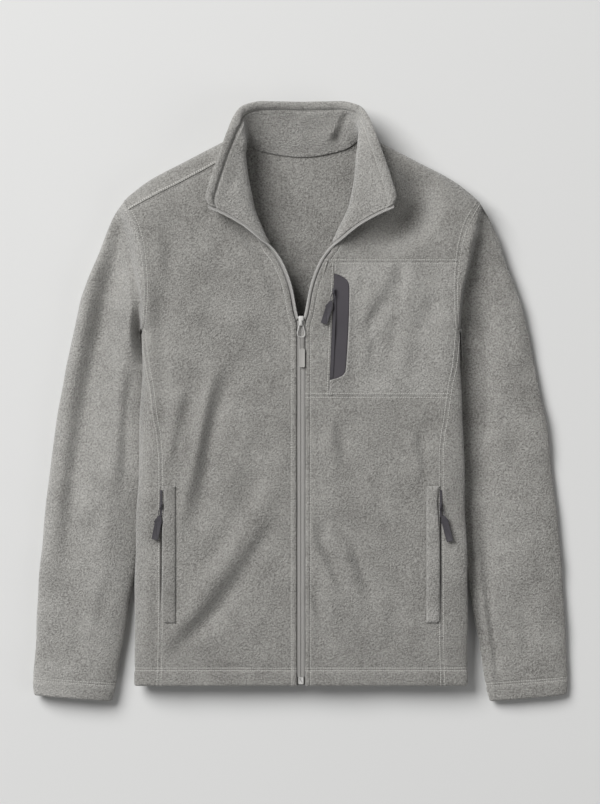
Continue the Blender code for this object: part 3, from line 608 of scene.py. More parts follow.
def makeNapGroup():
    # pebbled nap: soft clumps with fine fibres between, and a slow cloudiness in the colour
    tree, start, end = newGroup(
        "brushedNap",
        [("Vector", "NodeSocketVector", None), ("Clumps", "NodeSocketFloat", 460.0),
         ("Fibres", "NodeSocketFloat", 1100.0), ("Cloud", "NodeSocketFloat", 22.0)],
        [("Shade", "NodeSocketFloat"), ("Height", "NodeSocketFloat")],
    )
    noise = "ShaderNodeTexNoise"
    clump = addNode(tree, noise, (-500, 200), {"Detail": 2.5, "Roughness": 0.6})
    fibre = addNode(tree, noise, (-500, -50), {"Detail": 2.0})
    cloud = addNode(tree, noise, (-500, -300), {"Detail": 3.0})
    for node, label in ((clump, "Clumps"), (fibre, "Fibres"), (cloud, "Cloud")):
        tree.links.new(start.outputs["Vector"], node.inputs["Vector"])
        tree.links.new(start.outputs[label], node.inputs["Scale"])
    height = addNode(tree, "ShaderNodeMath", (-200, 100), {1: napLook["fibreShare"]},
                     operation="MULTIPLY_ADD")
    tree.links.new(fibre.outputs["Fac"], height.inputs[0])
    tree.links.new(clump.outputs["Fac"], height.inputs[2])
    cloudy = addNode(tree, "ShaderNodeMath", (-200, -200), {1: napLook["cloudShare"]},
                     operation="MULTIPLY_ADD")
    tree.links.new(cloud.outputs["Fac"], cloudy.inputs[0])
    tree.links.new(height.outputs[0], cloudy.inputs[2])
    shade = addNode(tree, "ShaderNodeMapRange", (50, -100),
                    {"From Min": napLook["darkest"], "From Max": napLook["lightest"]})
    tree.links.new(cloudy.outputs[0], shade.inputs["Value"])
    tree.links.new(shade.outputs["Result"], end.inputs["Shade"])
    tree.links.new(height.outputs[0], end.inputs["Height"])
    return tree


def makeWeaveGroup():
    # plain weave: threads over and under each other
    tree, start, end = newGroup(
        "plainWeave",
        [("Vector", "NodeSocketVector", None), ("Threads", "NodeSocketFloat", 900.0)],
        [("Shade", "NodeSocketFloat"), ("Height", "NodeSocketFloat")],
    )
    waveNodes = []
    for row, direction in enumerate(("X", "Y")):
        wave = addNode(tree, "ShaderNodeTexWave", (-450, 150 - 300 * row), {"Distortion": 0.6},
                       bands_direction=direction)
        tree.links.new(start.outputs["Vector"], wave.inputs["Vector"])
        tree.links.new(start.outputs["Threads"], wave.inputs["Scale"])
        waveNodes.append(wave)
    both = addNode(tree, "ShaderNodeMath", (-150, 0), operation="MAXIMUM")
    tree.links.new(waveNodes[0].outputs["Fac"], both.inputs[0])
    tree.links.new(waveNodes[1].outputs["Fac"], both.inputs[1])
    tree.links.new(both.outputs[0], end.inputs["Shade"])
    tree.links.new(both.outputs[0], end.inputs["Height"])
    return tree


napGroup = makeNapGroup()
weaveGroup = makeWeaveGroup()


def makeMaterial(name, look):
    mat = bpy.data.materials.new(name)
    mat.use_nodes = True
    tree = mat.node_tree
    surface = tree.nodes["Principled BSDF"]
    surface.inputs["Roughness"].default_value = look["roughness"]
    surface.inputs["Metallic"].default_value = look.get("metallic", 0.0)
    surface.inputs["Specular IOR Level"].default_value = look.get("specular", 0.3)
    surface.inputs["Sheen Weight"].default_value = look.get("sheen", 0.0)
    surface.inputs["Sheen Roughness"].default_value = look.get("sheenRoughness", 0.5)
    place = addNode(tree, "ShaderNodeTexCoord", (-900, 0))
    pattern = addNode(tree, "ShaderNodeGroup", (-650, 0))
    pattern.node_tree = napGroup if look["pattern"] == "nap" else weaveGroup
    for label, value in look.get("values", {}).items():
        pattern.inputs[label].default_value = value
    tree.links.new(place.outputs["Object"], pattern.inputs["Vector"])
    colour = addNode(tree, "ShaderNodeMix", (-350, 150), data_type="RGBA")
    colour.inputs[6].default_value = (*look["dark"], 1)
    colour.inputs[7].default_value = (*look["light"], 1)
    tree.links.new(pattern.outputs["Shade"], colour.inputs[0])
    tree.links.new(colour.outputs[2], surface.inputs["Base Color"])
    bump = addNode(tree, "ShaderNodeBump", (-350, -200),
                   {"Strength": look["bump"], "Distance": look["bumpDepth"] * mm})
    tree.links.new(pattern.outputs["Height"], bump.inputs["Height"])
    tree.links.new(bump.outputs["Normal"], surface.inputs["Normal"])
    return mat


def fleeceLook(dark, light, **changes):
    return {
        "pattern": "nap", "dark": dark, "light": light, "roughness": 0.95, "specular": 0.1,
        "sheen": 0.55, "bump": 1.0, "bumpDepth": 2.8, **changes,
    }


# the first fleece is the cloth's own colour; the next three are copies of it made lighter or
# darker, painted light and painted shade for the pieces that wear them, and the last also has more
# sheen
looks = {
    "fleece": fleeceLook((0.178, 0.171, 0.158), (0.476, 0.465, 0.438)),
    "fleecePaintedLit": fleeceLook((0.206, 0.199, 0.185), (0.548, 0.536, 0.508)),
    "fleecePaintedShade": fleeceLook((0.162, 0.156, 0.144), (0.424, 0.414, 0.390)),
    "fleecePaintedLitSheen": fleeceLook((0.197, 0.190, 0.177), (0.522, 0.511, 0.484), sheen=1.0,
                             sheenRoughness=0.25),
    "thread": {
        "pattern": "weave", "dark": (0.49, 0.48, 0.455), "light": (0.62, 0.61, 0.58),
        "values": {"Threads": 1200.0}, "roughness": 0.6, "bump": 0.4, "bumpDepth": 0.2,
    },
    "zipTape": {
        "pattern": "weave", "dark": (0.33, 0.32, 0.305), "light": (0.46, 0.45, 0.43),
        "values": {"Threads": 520.0}, "roughness": 0.75, "bump": 0.8, "bumpDepth": 0.4,
    },
    "coil": {
        "pattern": "weave", "dark": (0.54, 0.53, 0.51), "light": (0.66, 0.65, 0.63),
        "values": {"Threads": 700.0}, "roughness": 0.45, "bump": 0.2, "bumpDepth": 0.2,
    },
    "sliderMetal": {
        "pattern": "nap", "dark": (0.50, 0.495, 0.48), "light": (0.60, 0.59, 0.57),
        "values": {"Clumps": 500.0, "Fibres": 2500.0}, "roughness": 0.55, "metallic": 0.35,
        "specular": 0.35, "bump": 0.15, "bumpDepth": 0.2,
    },
    "pullRubber": {
        "pattern": "nap", "dark": (0.36, 0.35, 0.33), "light": (0.45, 0.44, 0.42),
        "values": {"Clumps": 900.0, "Fibres": 3000.0}, "roughness": 0.6, "bump": 0.2,
        "bumpDepth": 0.2,
    },
    "darkCloth": {
        "pattern": "weave", "dark": (0.055, 0.050, 0.058), "light": (0.095, 0.088, 0.098),
        "values": {"Threads": 620.0}, "roughness": 0.75, "sheen": 0.1, "bump": 0.6,
        "bumpDepth": 0.3,
    },
    "darkTrim": {
        "pattern": "nap", "dark": (0.045, 0.042, 0.048), "light": (0.085, 0.08, 0.09),
        "values": {"Clumps": 800.0, "Fibres": 2600.0}, "roughness": 0.5, "bump": 0.25,
        "bumpDepth": 0.25,
    },
}
mats = {name: makeMaterial(name, look) for name, look in looks.items()}
print("materials made:", len(mats))


def leanOf(edgeX, y):
    # length of an edge for each millimetre of y
    near = lay["slopeStep"]
    return np.hypot(1, edgeX(y + near) - edgeX(y - near))


def seamShift(edgeX, y):
    # half the seam gap, measured along x where the edge slants
    return lay["seamGap"] / 2 * leanOf(edgeX, y)


def frontSurface(x, y, side):
    low = hollowDepth(x * side, y, bodyHollows)
    return foldLift(x * side, y, frontFolds) + waves(x * side, y) - low


frontLook = {
    "mostLean": 2.3,         # where an edge slants more, its columns close up
    "edgeRoom": 0.46,        # share of the width that the columns beside one edge may take
}


def makeFrontPanel(piece):
    side, seamTop = piece["side"], shoulderSeam[0][1]
    nearLow, nearHigh, nearIn, nearOut = [
        np.array(edges[kind]["points"])
        for kind in (piece["lowEdge"], piece["highEdge"], piece["innerEdge"], "seam")
    ]
    ys = gradedSteps(piece["low"], piece["high"], nearLow, nearHigh, lay["grain"])
    if ys[0] < seamTop < ys[-1]:
        ys = np.unique(np.r_[ys, seamTop])
    inX, outX = piece["innerX"], piece["outerX"]
    start, end = inX(ys)[:, None], (outX(ys) - seamShift(outX, ys))[:, None]
    if piece["innerEdge"] != "zip":
        start = start + seamShift(inX, ys)[:, None]
    inLean = leanOf(inX, ys)[:, None]
    outLean = np.minimum(leanOf(outX, ys), frontLook["mostLean"])[:, None]
    room = frontLook["edgeRoom"] * (end - start)
    left = start + nearIn * inLean * np.minimum(1, room / (nearIn[-1] * inLean))
    right = end - nearOut[::-1] * outLean * np.minimum(1, room / (nearOut[-1] * outLean))
    count = max(2, math.ceil((end - start).max() / lay["grain"]))
    between = left[:, -1:] + (right[:, :1] - left[:, -1:]) * np.linspace(0, 1, count + 1)[1:-1]
    xs = np.concatenate([left, between, right], 1)
    yy = np.repeat(ys[:, None], xs.shape[1], 1)
    soft = frontSurface(xs, yy, side)
    lift = soft + edgeLift((xs - start) / inLean, yy, piece["innerEdge"])
    lift += edgeLift((end - xs) / outLean, yy, "seam")
    lift += edgeLift(yy - ys[0], xs, piece["lowEdge"])
    lift += edgeLift(ys[-1] - yy, xs, piece["highEdge"])
    outer = flipX(bodyPoint(xs, yy, lift, side=side), side)
    inner = flipX(bodyPoint(xs, yy, soft - lay["fleece"], side=side), side)
    obj = makeCloth(piece["name"], outer, inner, mats[piece["nap"]])
    normals = gridNormals(outer) * side
    for distance in edges[piece["innerEdge"]]["stitches"]:
        column = nearestTo(nearIn, distance)
        addStitchRow(outer[:, column], normals[:, column])
    # the shoulder seam is sewn through the back's edge
    sewn, column = ys <= seamTop, xs.shape[1] - 1 - seamStitch
    addStitchRow(outer[sewn, column], normals[sewn, column])
    sewAcross(outer, normals, ys, ys[0], piece["lowEdge"])
    sewAcross(outer, normals, ys, ys[-1], piece["highEdge"], -1)
    return obj


def chestInnerX(y):
    y = np.asarray(y, float)
    besideWindow = (y > windowEdge[0][0]) & (y < windowEdge[-1][0])
    return np.where(besideWindow, windowX(y), stripSeamX(y))


gap = lay["seamGap"] / 2
frontPieces = [
    {"name": "frontRight", "node": "front_right", "side": -1, "nap": "fleece",
     "low": hemY, "lowEdge": "hem", "high": frontTopY, "highEdge": "plain",
     "innerX": frontEdgeX, "innerEdge": "zip", "outerX": outerEdgeX},
    {"name": "frontLeftLower", "node": "front_left_lower", "side": 1, "nap": "fleece",
     "low": hemY, "lowEdge": "hem", "high": chestSeamY - gap, "highEdge": "seam",
     "innerX": frontEdgeX, "innerEdge": "zip", "outerX": outerEdgeX},
    {"name": "frontLeftYoke", "node": "front_left_yoke", "side": 1, "nap": "fleece",
     "low": yokeSeamY + gap, "lowEdge": "seam", "high": frontTopY, "highEdge": "plain",
     "innerX": frontEdgeX, "innerEdge": "zip", "outerX": outerEdgeX},
    {"name": "frontLeftStrip", "node": "front_left_strip", "side": 1, "nap": "fleece",
     "low": chestSeamY + gap, "lowEdge": "seam", "high": yokeSeamY - gap, "highEdge": "seam",
     "innerX": frontEdgeX, "innerEdge": "zip", "outerX": stripSeamX},
    # the chest panel wears a lighter copy of the fleece: painted light
    {"name": "frontLeftChest", "node": "front_left_chest", "side": 1, "nap": "fleecePaintedLit",
     "low": chestSeamY + gap, "lowEdge": "seam", "high": yokeSeamY - gap, "highEdge": "seam",
     "innerX": chestInnerX, "innerEdge": "window", "outerX": outerEdgeX},
]
pieces = {}
for piece in frontPieces:
    obj = makeFrontPanel(piece)
    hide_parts(piece["node"])
    pieces[piece["name"]] = obj
print("fronts made")


sideLook = {"turns": 12, "swell": 0.5, "swellLengths": (23, 61)}


def makeSide(name, side):
    # turn runs from -1 at the front's seam over the fold, at 0, to 1 at the back's seam
    ys = gradedSteps(hemY, underarmY - lay["seamGap"], besideHem, besideEdge, lay["grain"])
    edge, seam = halfWidth(ys)[:, None], (sideSeamX(ys) + seamShift(sideSeamX, ys))[:, None]
    wide = edge - seam
    nearSeam = np.arccos(np.clip(1 - (wide - np.array(besideEdge)[::-1]) / wide, -1, 1))
    nearSeam = np.clip(nearSeam * 2 / math.pi, 0, 1)
    nearFold = np.linspace(0, 1, sideLook["turns"] + 1)[:-1] * nearSeam[:, :1]
    half = np.concatenate([nearFold, nearSeam], 1)
    turn = np.concatenate([-half[:, ::-1], half[:, 1:]], 1)
    xs = edge - wide * (1 - np.cos(np.abs(turn) * math.pi / 2))
    yy = np.repeat(ys[:, None], xs.shape[1], 1)
    soft = frontSurface(xs, yy, side) * ramp(turn, lay["foldBlend"], -lay["foldBlend"])
    fast, slow = sideLook["swellLengths"]
    swell = sideLook["swell"] * np.sin(yy / fast + side) * np.sin(yy / slow)
    soft += swell * (1 - np.abs(turn))
    lift = soft + edgeLift(xs - seam, yy, "seam") + edgeLift(yy - ys[0], xs, "hem")
    outer, inner = [
        np.where((turn <= 0)[..., None], bodyPoint(xs, yy, out, False, side),
                 bodyPoint(xs, yy, out, True, side))
        for out in (lift, soft - lay["fleece"])
    ]
    outer[..., 2] = np.clip(outer[..., 2], 0, None)
    outer, inner = flipX(outer, side), flipX(inner, side)
    obj = makeCloth(name, outer, inner, mats["fleece"])
    normals = gridNormals(outer)
    normals *= np.sign((normals[..., 0] * side).sum())
    for column in (seamStitch, xs.shape[1] - 1 - seamStitch):
        addStitchRow(outer[:, column], normals[:, column])
    sewAcross(outer, normals, ys, ys[0], "hem")
    return obj


backLook = {
    "grain": 6.0, "neckFrom": 60.0, "neckGrain": 3.0, "shoulderRows": 32.0,
    # distances of the columns from the armhole and of the rows from the shoulder's fold
    "besideArm": [6, 4.4, 3.3, 2.6, 2.0, 1.3, 0.7, 0.3, 0], "armColumns": 8.0,
    "belowFold": [27, 22, 17.5, 13.5, 10, 7.2, 5, 3.2, 1.8, 0.8, 0.2, 0],
    "foldShare": 0.35, "flatReach": 60.0,      # how much of the front's folds it shows
    "turns": 26, "evenUpTo": 0.74, "overShoulder": 34.0,
    "leftSeam": 0.25,        # the wearer's left shoulder seam lies flat and unsewn
}


def makeBack():
    look = backLook
    tip = float(armholeX(shoulderTipY) - seamShift(armholeX, shoulderTipY))
    half = np.r_[
        evenSteps(0, look["neckFrom"], look["grain"]),
        evenSteps(look["neckFrom"], neckHalf, look["neckGrain"])[1:],
        evenSteps(neckHalf, tip - look["armColumns"], look["grain"])[1:],
        tip - np.array(look["besideArm"]),
    ]
    tops = np.r_[-half[:0:-1], half]
    away = np.abs(tops)
    low = gradedSteps(hemY, shoulderTipY - look["shoulderRows"], besideHem, [0], look["grain"])
    levels = np.r_[low, shoulderTipY - np.array(look["belowFold"])]
    topY = np.where(away >= neckHalf, shoulderY(away), backNeckY(away))
    topY = np.where(away == tip, shoulderTipY, topY)
    up = (levels - hemY) / (shoulderTipY - hemY)
    edgeX = np.where(levels <= underarmY, sideSeamX(levels) - seamShift(sideSeamX, levels),
                     armholeX(levels) - seamShift(armholeX, levels))[:, None]
    xs, ys = tops / tip * edgeX, hemY + up[:, None] * (topY - hemY)
    flat = smoothStep(inside(xs, ys) / look["flatReach"])
    soft = -np.abs(foldLift(xs, ys, frontFolds)) * look["foldShare"] * flat
    lift = soft + edgeLift(edgeX - np.abs(xs), ys, "seam") + edgeLift(ys - hemY, xs, "hem")
    outer = bodyPoint(xs, ys, lift, True)
    inner = bodyPoint(xs, ys, soft - lay["fleece"], True)
    # forward over the shoulders to the seam
    turned = 1 - np.cos(np.linspace(0, math.pi / 2, look["turns"] + 1)[1:])
    nearSeam = 1 - np.array(besideEdge[::-1]) / look["overShoulder"]
    forward = np.r_[turned[turned < look["evenUpTo"]], nearSeam][:, None]
    reach = np.clip((away - neckHalf) / (tip - neckHalf), 0, 1)
    (outX, outY), (neckX, neckY) = shoulderSeam
    seamX = (neckX + reach * (outX - lay["seamGap"] - neckX)) * np.sign(tops + 1e-9)
    seamY = neckY + reach * (outY - neckY) + lay["seamGap"]
    runX, runY = seamX - xs[-1], seamY - ys[-1]
    xs, ys = xs[-1] + forward * runX, ys[-1] + forward * runY
    soft = frontSurface(xs, ys, 1) * smoothStep(forward)
    shown = np.where(tops > 0, look["leftSeam"], 1.0)
    lift = soft + edgeLift((1 - forward) * np.hypot(runX, runY), xs, "felled") * shown
    lift += edgeLift(np.broadcast_to(tip - away, xs.shape), ys, "seam")
    outer = np.concatenate([outer, bodyPoint(xs, ys, lift)])
    inner = np.concatenate([inner, bodyPoint(xs, ys, soft - lay["fleece"])])
    cells = np.ones((len(outer) - 1, len(tops) - 1), bool)
    overNeck = (tops[:-1] >= -neckHalf) & (tops[1:] <= neckHalf)
    cells[len(levels) - 1:, overNeck] = False
    obj = makeCloth("backPanel", outer, inner, mats["fleece"], cells=cells)
    # outwards is up over the shoulders
    normals = gridNormals(outer)
    normals *= np.sign(normals[-8:, tops > neckHalf, 2].sum())
    sewn = tops < -neckHalf
    for distance in edges["felled"]["stitches"]:
        row = len(outer) - 1 - nearestTo(besideEdge, distance)
        addStitchRow(outer[row, sewn], normals[row, sewn])
    return obj


for word, side in bothSides.items():
    pieces["side" + word] = makeSide("side" + word, side)
    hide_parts("side_" + word.lower())
pieces["backPanel"] = makeBack()
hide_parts("back_panel")
print("sides and back made")


# the sleeve's sections: outer fold x, y, z; inner fold x, y, z; height between them; bow
# towards the body
sleeveRows = np.array([
    (243.0, 243, 22.0, 206.9, 88, 22.0, 41.0, 9.0),
    (254.0, 219, 20.0, 207.2, 80, 20.0, 39.5, 6.0),
    (267.0, 184, 18.0, 207.2, 70, 16.0, 38.0, 3.5),
    (281.0, 147, 16.0, 207.0, 57, 13.0, 36.0, 1.5),
    (293.0, 106, 15.0, 205.6, 37, 9.5, 34.0, 0.0),
    (303.0, 60, 14.0, 205.4, 8, 8.0, 32.0, 0.0),
    (312.5, 8, 14.0, 206.6, -29, 8.0, 31.0, 0.0),
    (322.5, -50, 14.0, 208.2, -75, 8.0, 30.0, 0.0),
    (330.5, -112, 14.0, 210.4, -130, 8.5, 30.0, 0.0),
    (337.5, -180, 14.0, 213.6, -192, 9.5, 30.0, 0.0),
    (342.5, -250, 14.0, 221.8, -259, 11.0, 29.0, 0.0),
    (346.0, -318, 14.0, 233.8, -326, 12.0, 28.0, 0.0),
    (347.5, -370, 13.0, 243.5, -378, 12.0, 27.0, 0.0),
    (346.0, -383, 13.0, 247.0, -391.1, 12.0, 26.5, 0.0),
])
sleeveLook = {
    "around": 68, "crowding": 0.55,       # cells across the top, and how they crowd at the folds
    "outerReach": 42.0, "turn": 1.3,      # how far in each fold takes to level out
    "innerReach": {-1: 42.0, 1: 76.0}, "freeReach": 45.0,
    "held": {-1: 0.3, 1: 1.0},            # how far the body changes the inner fold
    "flat": {-1: 1.0, 1: 0.64},           # height as a share, below the shoulder
    "innerLift": {-1: 11.0, 1: 0.0}, "innerTuck": {-1: 2.0, 1: -1.0},
    # y between which each of these holds, with its two ends
    "besideY": ((-235, -150), (70, 20)), "heldY": ((-280, -190), (110, 50)), "flatY": (240, 120),
    "underarmTurn": 12.0, "ownFrom": 14.0,        # from the armhole's wall to the sleeve's own
    "foldsFrom": 10.0, "hollowFrom": {-1: 14.0, 1: 5.0},      # both fade in from the armhole
    "lowest": 8.5,           # no hollow goes below this height
    "wave": 0.26, "waveShift": 400.0,
    # both sleeves wear lighter copies of the fleece: painted light, the wearer's left one also
    # with more sheen
    "nap": {-1: "fleecePaintedLit", 1: "fleecePaintedLitSheen"},
}


def sleeveSections(shares, side):
    # top and underside points of every section at the shares of the way across
    look = sleeveLook
    ox, oy, oz, ix, iy, iz, high, bow = [c[:, None] for c in sleeveRows.T]
    beside = within(iy, *look["besideY"])
    ix = ix - look["innerTuck"][side] * beside
    iz = iz + look["innerLift"][side] * beside
    flat = 1 + (look["flat"][side] - 1) * ramp(oy, *look["flatY"])
    high, oz = high * flat, oz * flat
    acrossX, acrossY = ix - ox, iy - oy
    wide = np.hypot(acrossX, acrossY)
    bend = 4 * shares * (1 - shares) * bow / wide
    x = ox + shares * acrossX + bend * acrossY
    y = oy + shares * acrossY - bend * acrossX
    outRun, inRun = shares * wide, (1 - shares) * wide
    # beside the body one sleeve stays low, the other leans on the body's edge
    held = look["held"][side] * within(iy, *look["heldY"])
    inReach = look["freeReach"] + held * (look["innerReach"][side] - look["freeReach"])
    inRise = rise(inRun / inReach)
    inRise = inRise + held * (smoothStep(inRun / inReach) - inRise)
    top = high - (high - oz) * (1 - rise(outRun / look["outerReach"]))
    top = top - (high - iz) * (1 - inRise)
    low = oz * (1 - rise(outRun / (look["turn"] * oz)))
    low = low + iz * (1 - rise(inRun / (look["turn"] * iz)))
    return np.stack([x, y, top], -1), np.stack([x, y, low], -1)


def roundRing(top, low):
    # a closed ring of the points on top and those underneath
    return np.concatenate([top, low[..., -2:0:-1, :]], -2)


def makeSleeve(name, side):
    look, count = sleeveLook, sleeveLook["around"]
    even = np.linspace(0, 1, count + 1)
    shares = look["crowding"] * (1 - np.cos(math.pi * even)) / 2 + (1 - look["crowding"]) * even
    shares[0], shares[-1] = 0, 1
    levels = shoulderTipY - shares * (shoulderTipY - underarmY)
    # the first ring is the armhole, with the wall of the body there
    seamX = armholeX(levels) + seamShift(armholeX, levels)
    soft = frontSurface(seamX, levels, side)
    top, low = bodyPoint(seamX, levels, soft, False, side), bodyPoint(seamX, levels, 0, True, side)
    topIn = bodyPoint(seamX, levels, soft - 1, False, side) - top
    lowIn = bodyPoint(seamX, levels, -1, True, side) - low
    first = roundRing(top, low)[None]
    rings = np.concatenate([first, roundRing(*sleeveSections(shares, side))])
    knots = np.r_[0, np.cumsum(np.linalg.norm(np.diff(rings, axis=0), axis=-1).mean(1))]
    at = gradedSteps(0, knots[-1], besideEdge, besideHem, lay["grain"])
    grid = hermite(rings, np.gradient(rings, knots, axis=0), knots, at)
    run = np.repeat(at[:, None], grid.shape[1], 1)
    normals = gridNormals(grid, True)
    middle = len(at) // 2
    normals *= np.sign(normals[middle, :count, 2].sum())
    fromUnderarm = np.r_[levels, levels[-2:0:-1]] - underarmY
    underarm = np.clip(1 - fromUnderarm / look["underarmTurn"], 0, 1)
    own = np.maximum(smoothStep(run / look["ownFrom"]), underarm)[..., None]
    inward = unit((1 - own) * roundRing(topIn, lowIn) - own * normals)
    around = runAlong(grid[middle])[None]
    onTop = ramp(normals[..., 2], -lay["foldBlend"], lay["foldBlend"])
    x, y, z = grid[..., 0] * side, grid[..., 1], grid[..., 2]
    hollow = hollowDepth(x, y, sleeveHollows[side])
    sunk = z - hollow * smoothStep(run / look["hollowFrom"][side])
    grid[..., 2] = z + (np.maximum(sunk, np.minimum(z, look["lowest"])) - z) * onTop
    soft = foldLift(x, y, sleeveFolds[side]) + waves(x + look["waveShift"], y, look["wave"])
    soft *= onTop * smoothStep(run / look["foldsFrom"])
    lift = soft + edgeLift(run, around, "seam") * np.maximum(onTop, 0.2)
    lift += edgeLift(knots[-1] - run, around, "hem")
    outer = grid - lift[..., None] * inward
    outer[..., 2] = np.clip(outer[..., 2], 0, None)
    inner = grid - (soft - lay["fleece"])[..., None] * inward
    outer, inner, normals = [flipX(part, side) for part in (outer, inner, normals)]
    obj = makeCloth(name, outer, inner, mats[look["nap"][side]], tube=True)
    addStitchRow(outer[seamStitch, :count + 1], normals[seamStitch, :count + 1])
    outer, normals = [np.concatenate([part, part[:, :1]], 1) for part in (outer, normals)]
    sewAcross(outer, normals, at, knots[-1], "hem", -1)
    return obj


for word, side in bothSides.items():
    pieces["sleeve" + word] = makeSleeve("sleeve" + word, side)
    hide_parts("sleeve_" + word.lower())
print("sleeves made")


# the collar's sections, down the middle of the cloth: seam, roll and free edge, x, y, z each
collarRows = np.array([
    (41.8, 204.4, 40.0, 42.6, 205.2, 50.0, 119.8, 254.5, 61.0),
    (51.4, 224.6, 40.0, 50.5, 224.6, 50.5, 123.5, 264.0, 63.0),
    (62.3, 249.8, 40.2, 60.5, 249, 51.0, 119.5, 281.0, 64.5),
    (67.9, 272.5, 40.2, 66.0, 272, 51.0, 113.0, 301.0, 65.0),
    (71.1, 293.4, 39.8, 69.0, 293, 50.5, 106.5, 320.0, 64.0),
    (74.2, 318.5, 35.5, 70.8, 316, 49.0, 100.0, 338.0, 61.0),
    (78.6, 335.6, 29.0, 72.3, 335, 45.0, 94.0, 354.0, 56.0),
    (80.4, 347.5, 19.0, 73.5, 352, 38.0, 87.0, 370.0, 49.0),
    (71.4, 339.0, 8.5, 71.0, 362, 28.0, 77.5, 383.0, 38.0),
    (60.5, 331.2, 4.4, 59.0, 361, 18.0, 61.5, 389.0, 32.0),
    (32.0, 322.8, 2.9, 32.0, 355, 12.5, 32.5, 390.3, 27.5),
    (0.0, 319.5, 2.8, 0.0, 353, 11.0, 0.0, 389.8, 26.5),
])
collarLook = {
    "thick": 5.0, "across": 46, "grain": 2.6, "bow": 8.0, "wave": 0.2,
    "fromEdge": [0, 0.3, 0.8, 1.6, 2.6, 4.4, 6.6, 8.8, 10.6, 11.4, 12.0, 12.6, 13.4, 15.2],
    "band": 12.0,            # distance of the stitched line from the free edge
    "groove": 1.5, "grooveRight": 1.6, "grooveLeft": -0.6, "grooveSides": (20, 60),
    "grooveWide": 1.3, "softFrom": 8.0, "softAcross": (-20, 40),
    "underGroove": 0.8, "zipGroove": 0.6, "zipGrooveAt": 6.0, "zipGrooveWide": 0.9,
    "puff": 1.3, "puffWide": 5.0,
}
collarFolds = [
    ([(-80, 376), (-75, 352), (-69, 320)], 1.0, 9, 9),
    ([(59, 384), (49, 359), (38, 334)], 0.8, 8, 9),
    ([(-66, 360), (-58, 350), (-50, 338)], 0.45, 7, 6),
    ([(-92, 262), (-88, 276), (-84, 296)], 0.25, 9, 8),
    ([(92, 262), (88, 282), (84, 306)], 0.16, 9, 9),
    ([(14, 376), (8, 356), (10, 338)], 0.14, 12, 12),
]


def pulledCurve(start, pull, end, t):
    # from start to end, pulled towards a point between
    return (1 - t) ** 2 * start[:, None] + 2 * t * (1 - t) * pull[:, None] + t * t * end[:, None]


def makeCollar():
    look = collarLook
    other = collarRows[-2::-1] * np.array([-1, 1, 1] * 3)
    rows = np.concatenate([collarRows, other])
    neck, roll, edge = rows[:, 0:3], rows[:, 3:6], rows[:, 6:9]
    number = np.arange(len(rows))
    lie = (roll + edge) / 2
    lie[:, 1] += look["bow"] * np.clip(1 - np.minimum(number, number[::-1]) / 3, 0, 1)
    middle = (roll + lie) / 2
    fine = np.linspace(0, 2, 121)[None, :, None]
    sections = np.where(fine <= 1, pulledCurve(neck, roll, middle, fine),
                        pulledCurve(middle, lie, edge, fine - 1))
    # columns at even steps along each section, closer at the free edge
    nearEdge = np.array(look["fromEdge"][::-1])
    shaped = []
    for section in sections:
        run = runAlong(section)
        free = run[-1] - nearEdge
        at = np.r_[np.linspace(0, free[0], look["across"] + 1)[:-1], free]
        shaped.append(readAt(at, run, section))
    shaped = np.array(shaped)
    chord = np.linalg.norm(np.diff(shaped, axis=0), axis=-1)[:, -40:].mean(1)
    knots = np.r_[0, np.cumsum(chord)]
    at = gradedSteps(0, knots[-1], besideEdge, besideEdge, look["grain"])
    grid = hermite(shaped, np.gradient(shaped, knots, axis=0), knots, at)
    # the side that shows faces up beside the front's corner
    normals = gridNormals(grid)
    normals *= np.sign(normals[len(at) // 8, -10, 2])
    fromEdge = np.broadcast_to(np.r_[np.full(look["across"], 99.0), nearEdge], grid.shape[:2])
    fromZip = np.minimum(at, knots[-1] - at)[:, None]
    fromRim = np.minimum(fromEdge, fromZip)
    half = look["thick"] / 2
    thick = half * rise(fromRim / half)
    x, y = grid[..., 0], grid[..., 1]
    soft = foldLift(x, y, collarFolds) + waves(x, y, look["wave"])
    soft *= smoothStep(fromRim / look["softFrom"]) * ramp(fromEdge, *look["softAcross"])
    near, far = look["grooveSides"]
    deep = look["groove"] + look["grooveRight"] * ramp(x, -near, -far)
    deep += look["grooveLeft"] * ramp(x, near, far)
    groove = deep * np.exp(-((fromEdge - look["band"]) / look["grooveWide"]) ** 2)
    zipAway = (fromZip - look["zipGrooveAt"]) / look["zipGrooveWide"]
    groove += look["zipGroove"] * np.exp(-zipAway ** 2)
    puff = look["puff"] * smoothStep(fromEdge / look["puffWide"])
    puff *= smoothStep((look["band"] - fromEdge) / look["puffWide"])
    upper = grid + (thick + soft - groove + puff)[..., None] * normals
    lower = grid - (thick - soft - groove * look["underGroove"] + puff)[..., None] * normals
    # the collar wears a lighter copy of the fleece: painted light
    obj = makeCloth("standCollar", upper, lower, mats["fleecePaintedLit"])
    column = upper.shape[1] - 1 - look["fromEdge"].index(look["band"])
    addStitchRow(upper[:, column], normals[:, column])
    addStitchRow(lower[:, column], -normals[:, column])
    return obj


pieces["collar"] = makeCollar()
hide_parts("collar")
print("collar made")


windowPiece = {"deep": -1.0, "thick": 1.5, "ends": 0.3, "grain": 2.5, "across": 12}
# y, x of the welt's inner and outer edge
weltRows = [
    (-287.3, 162.8, 180.2), (-190, 162.8, 180.2), (-154, 162.8, 178.8), (-128, 162.8, 177.2),
    (-110, 163, 179.4),
]
weltPiece = {
    "thick": 3.0, "lift": 0.3, "corner": 5.0, "roll": 2.4, "rollWide": 3.4, "puff": 0.6,
    "puffWide": 9.0, "near": [0, 0.3, 0.8, 1.4, 2.2, 3.0, 4.2], "between": [0.4, 0.5, 0.6],
    # the wearer's right welt wears a darker copy of the fleece, painted shade, and the left one a
    # lighter copy, painted light
    "nap": {-1: "fleecePaintedShade", 1: "fleecePaintedLit"},
}


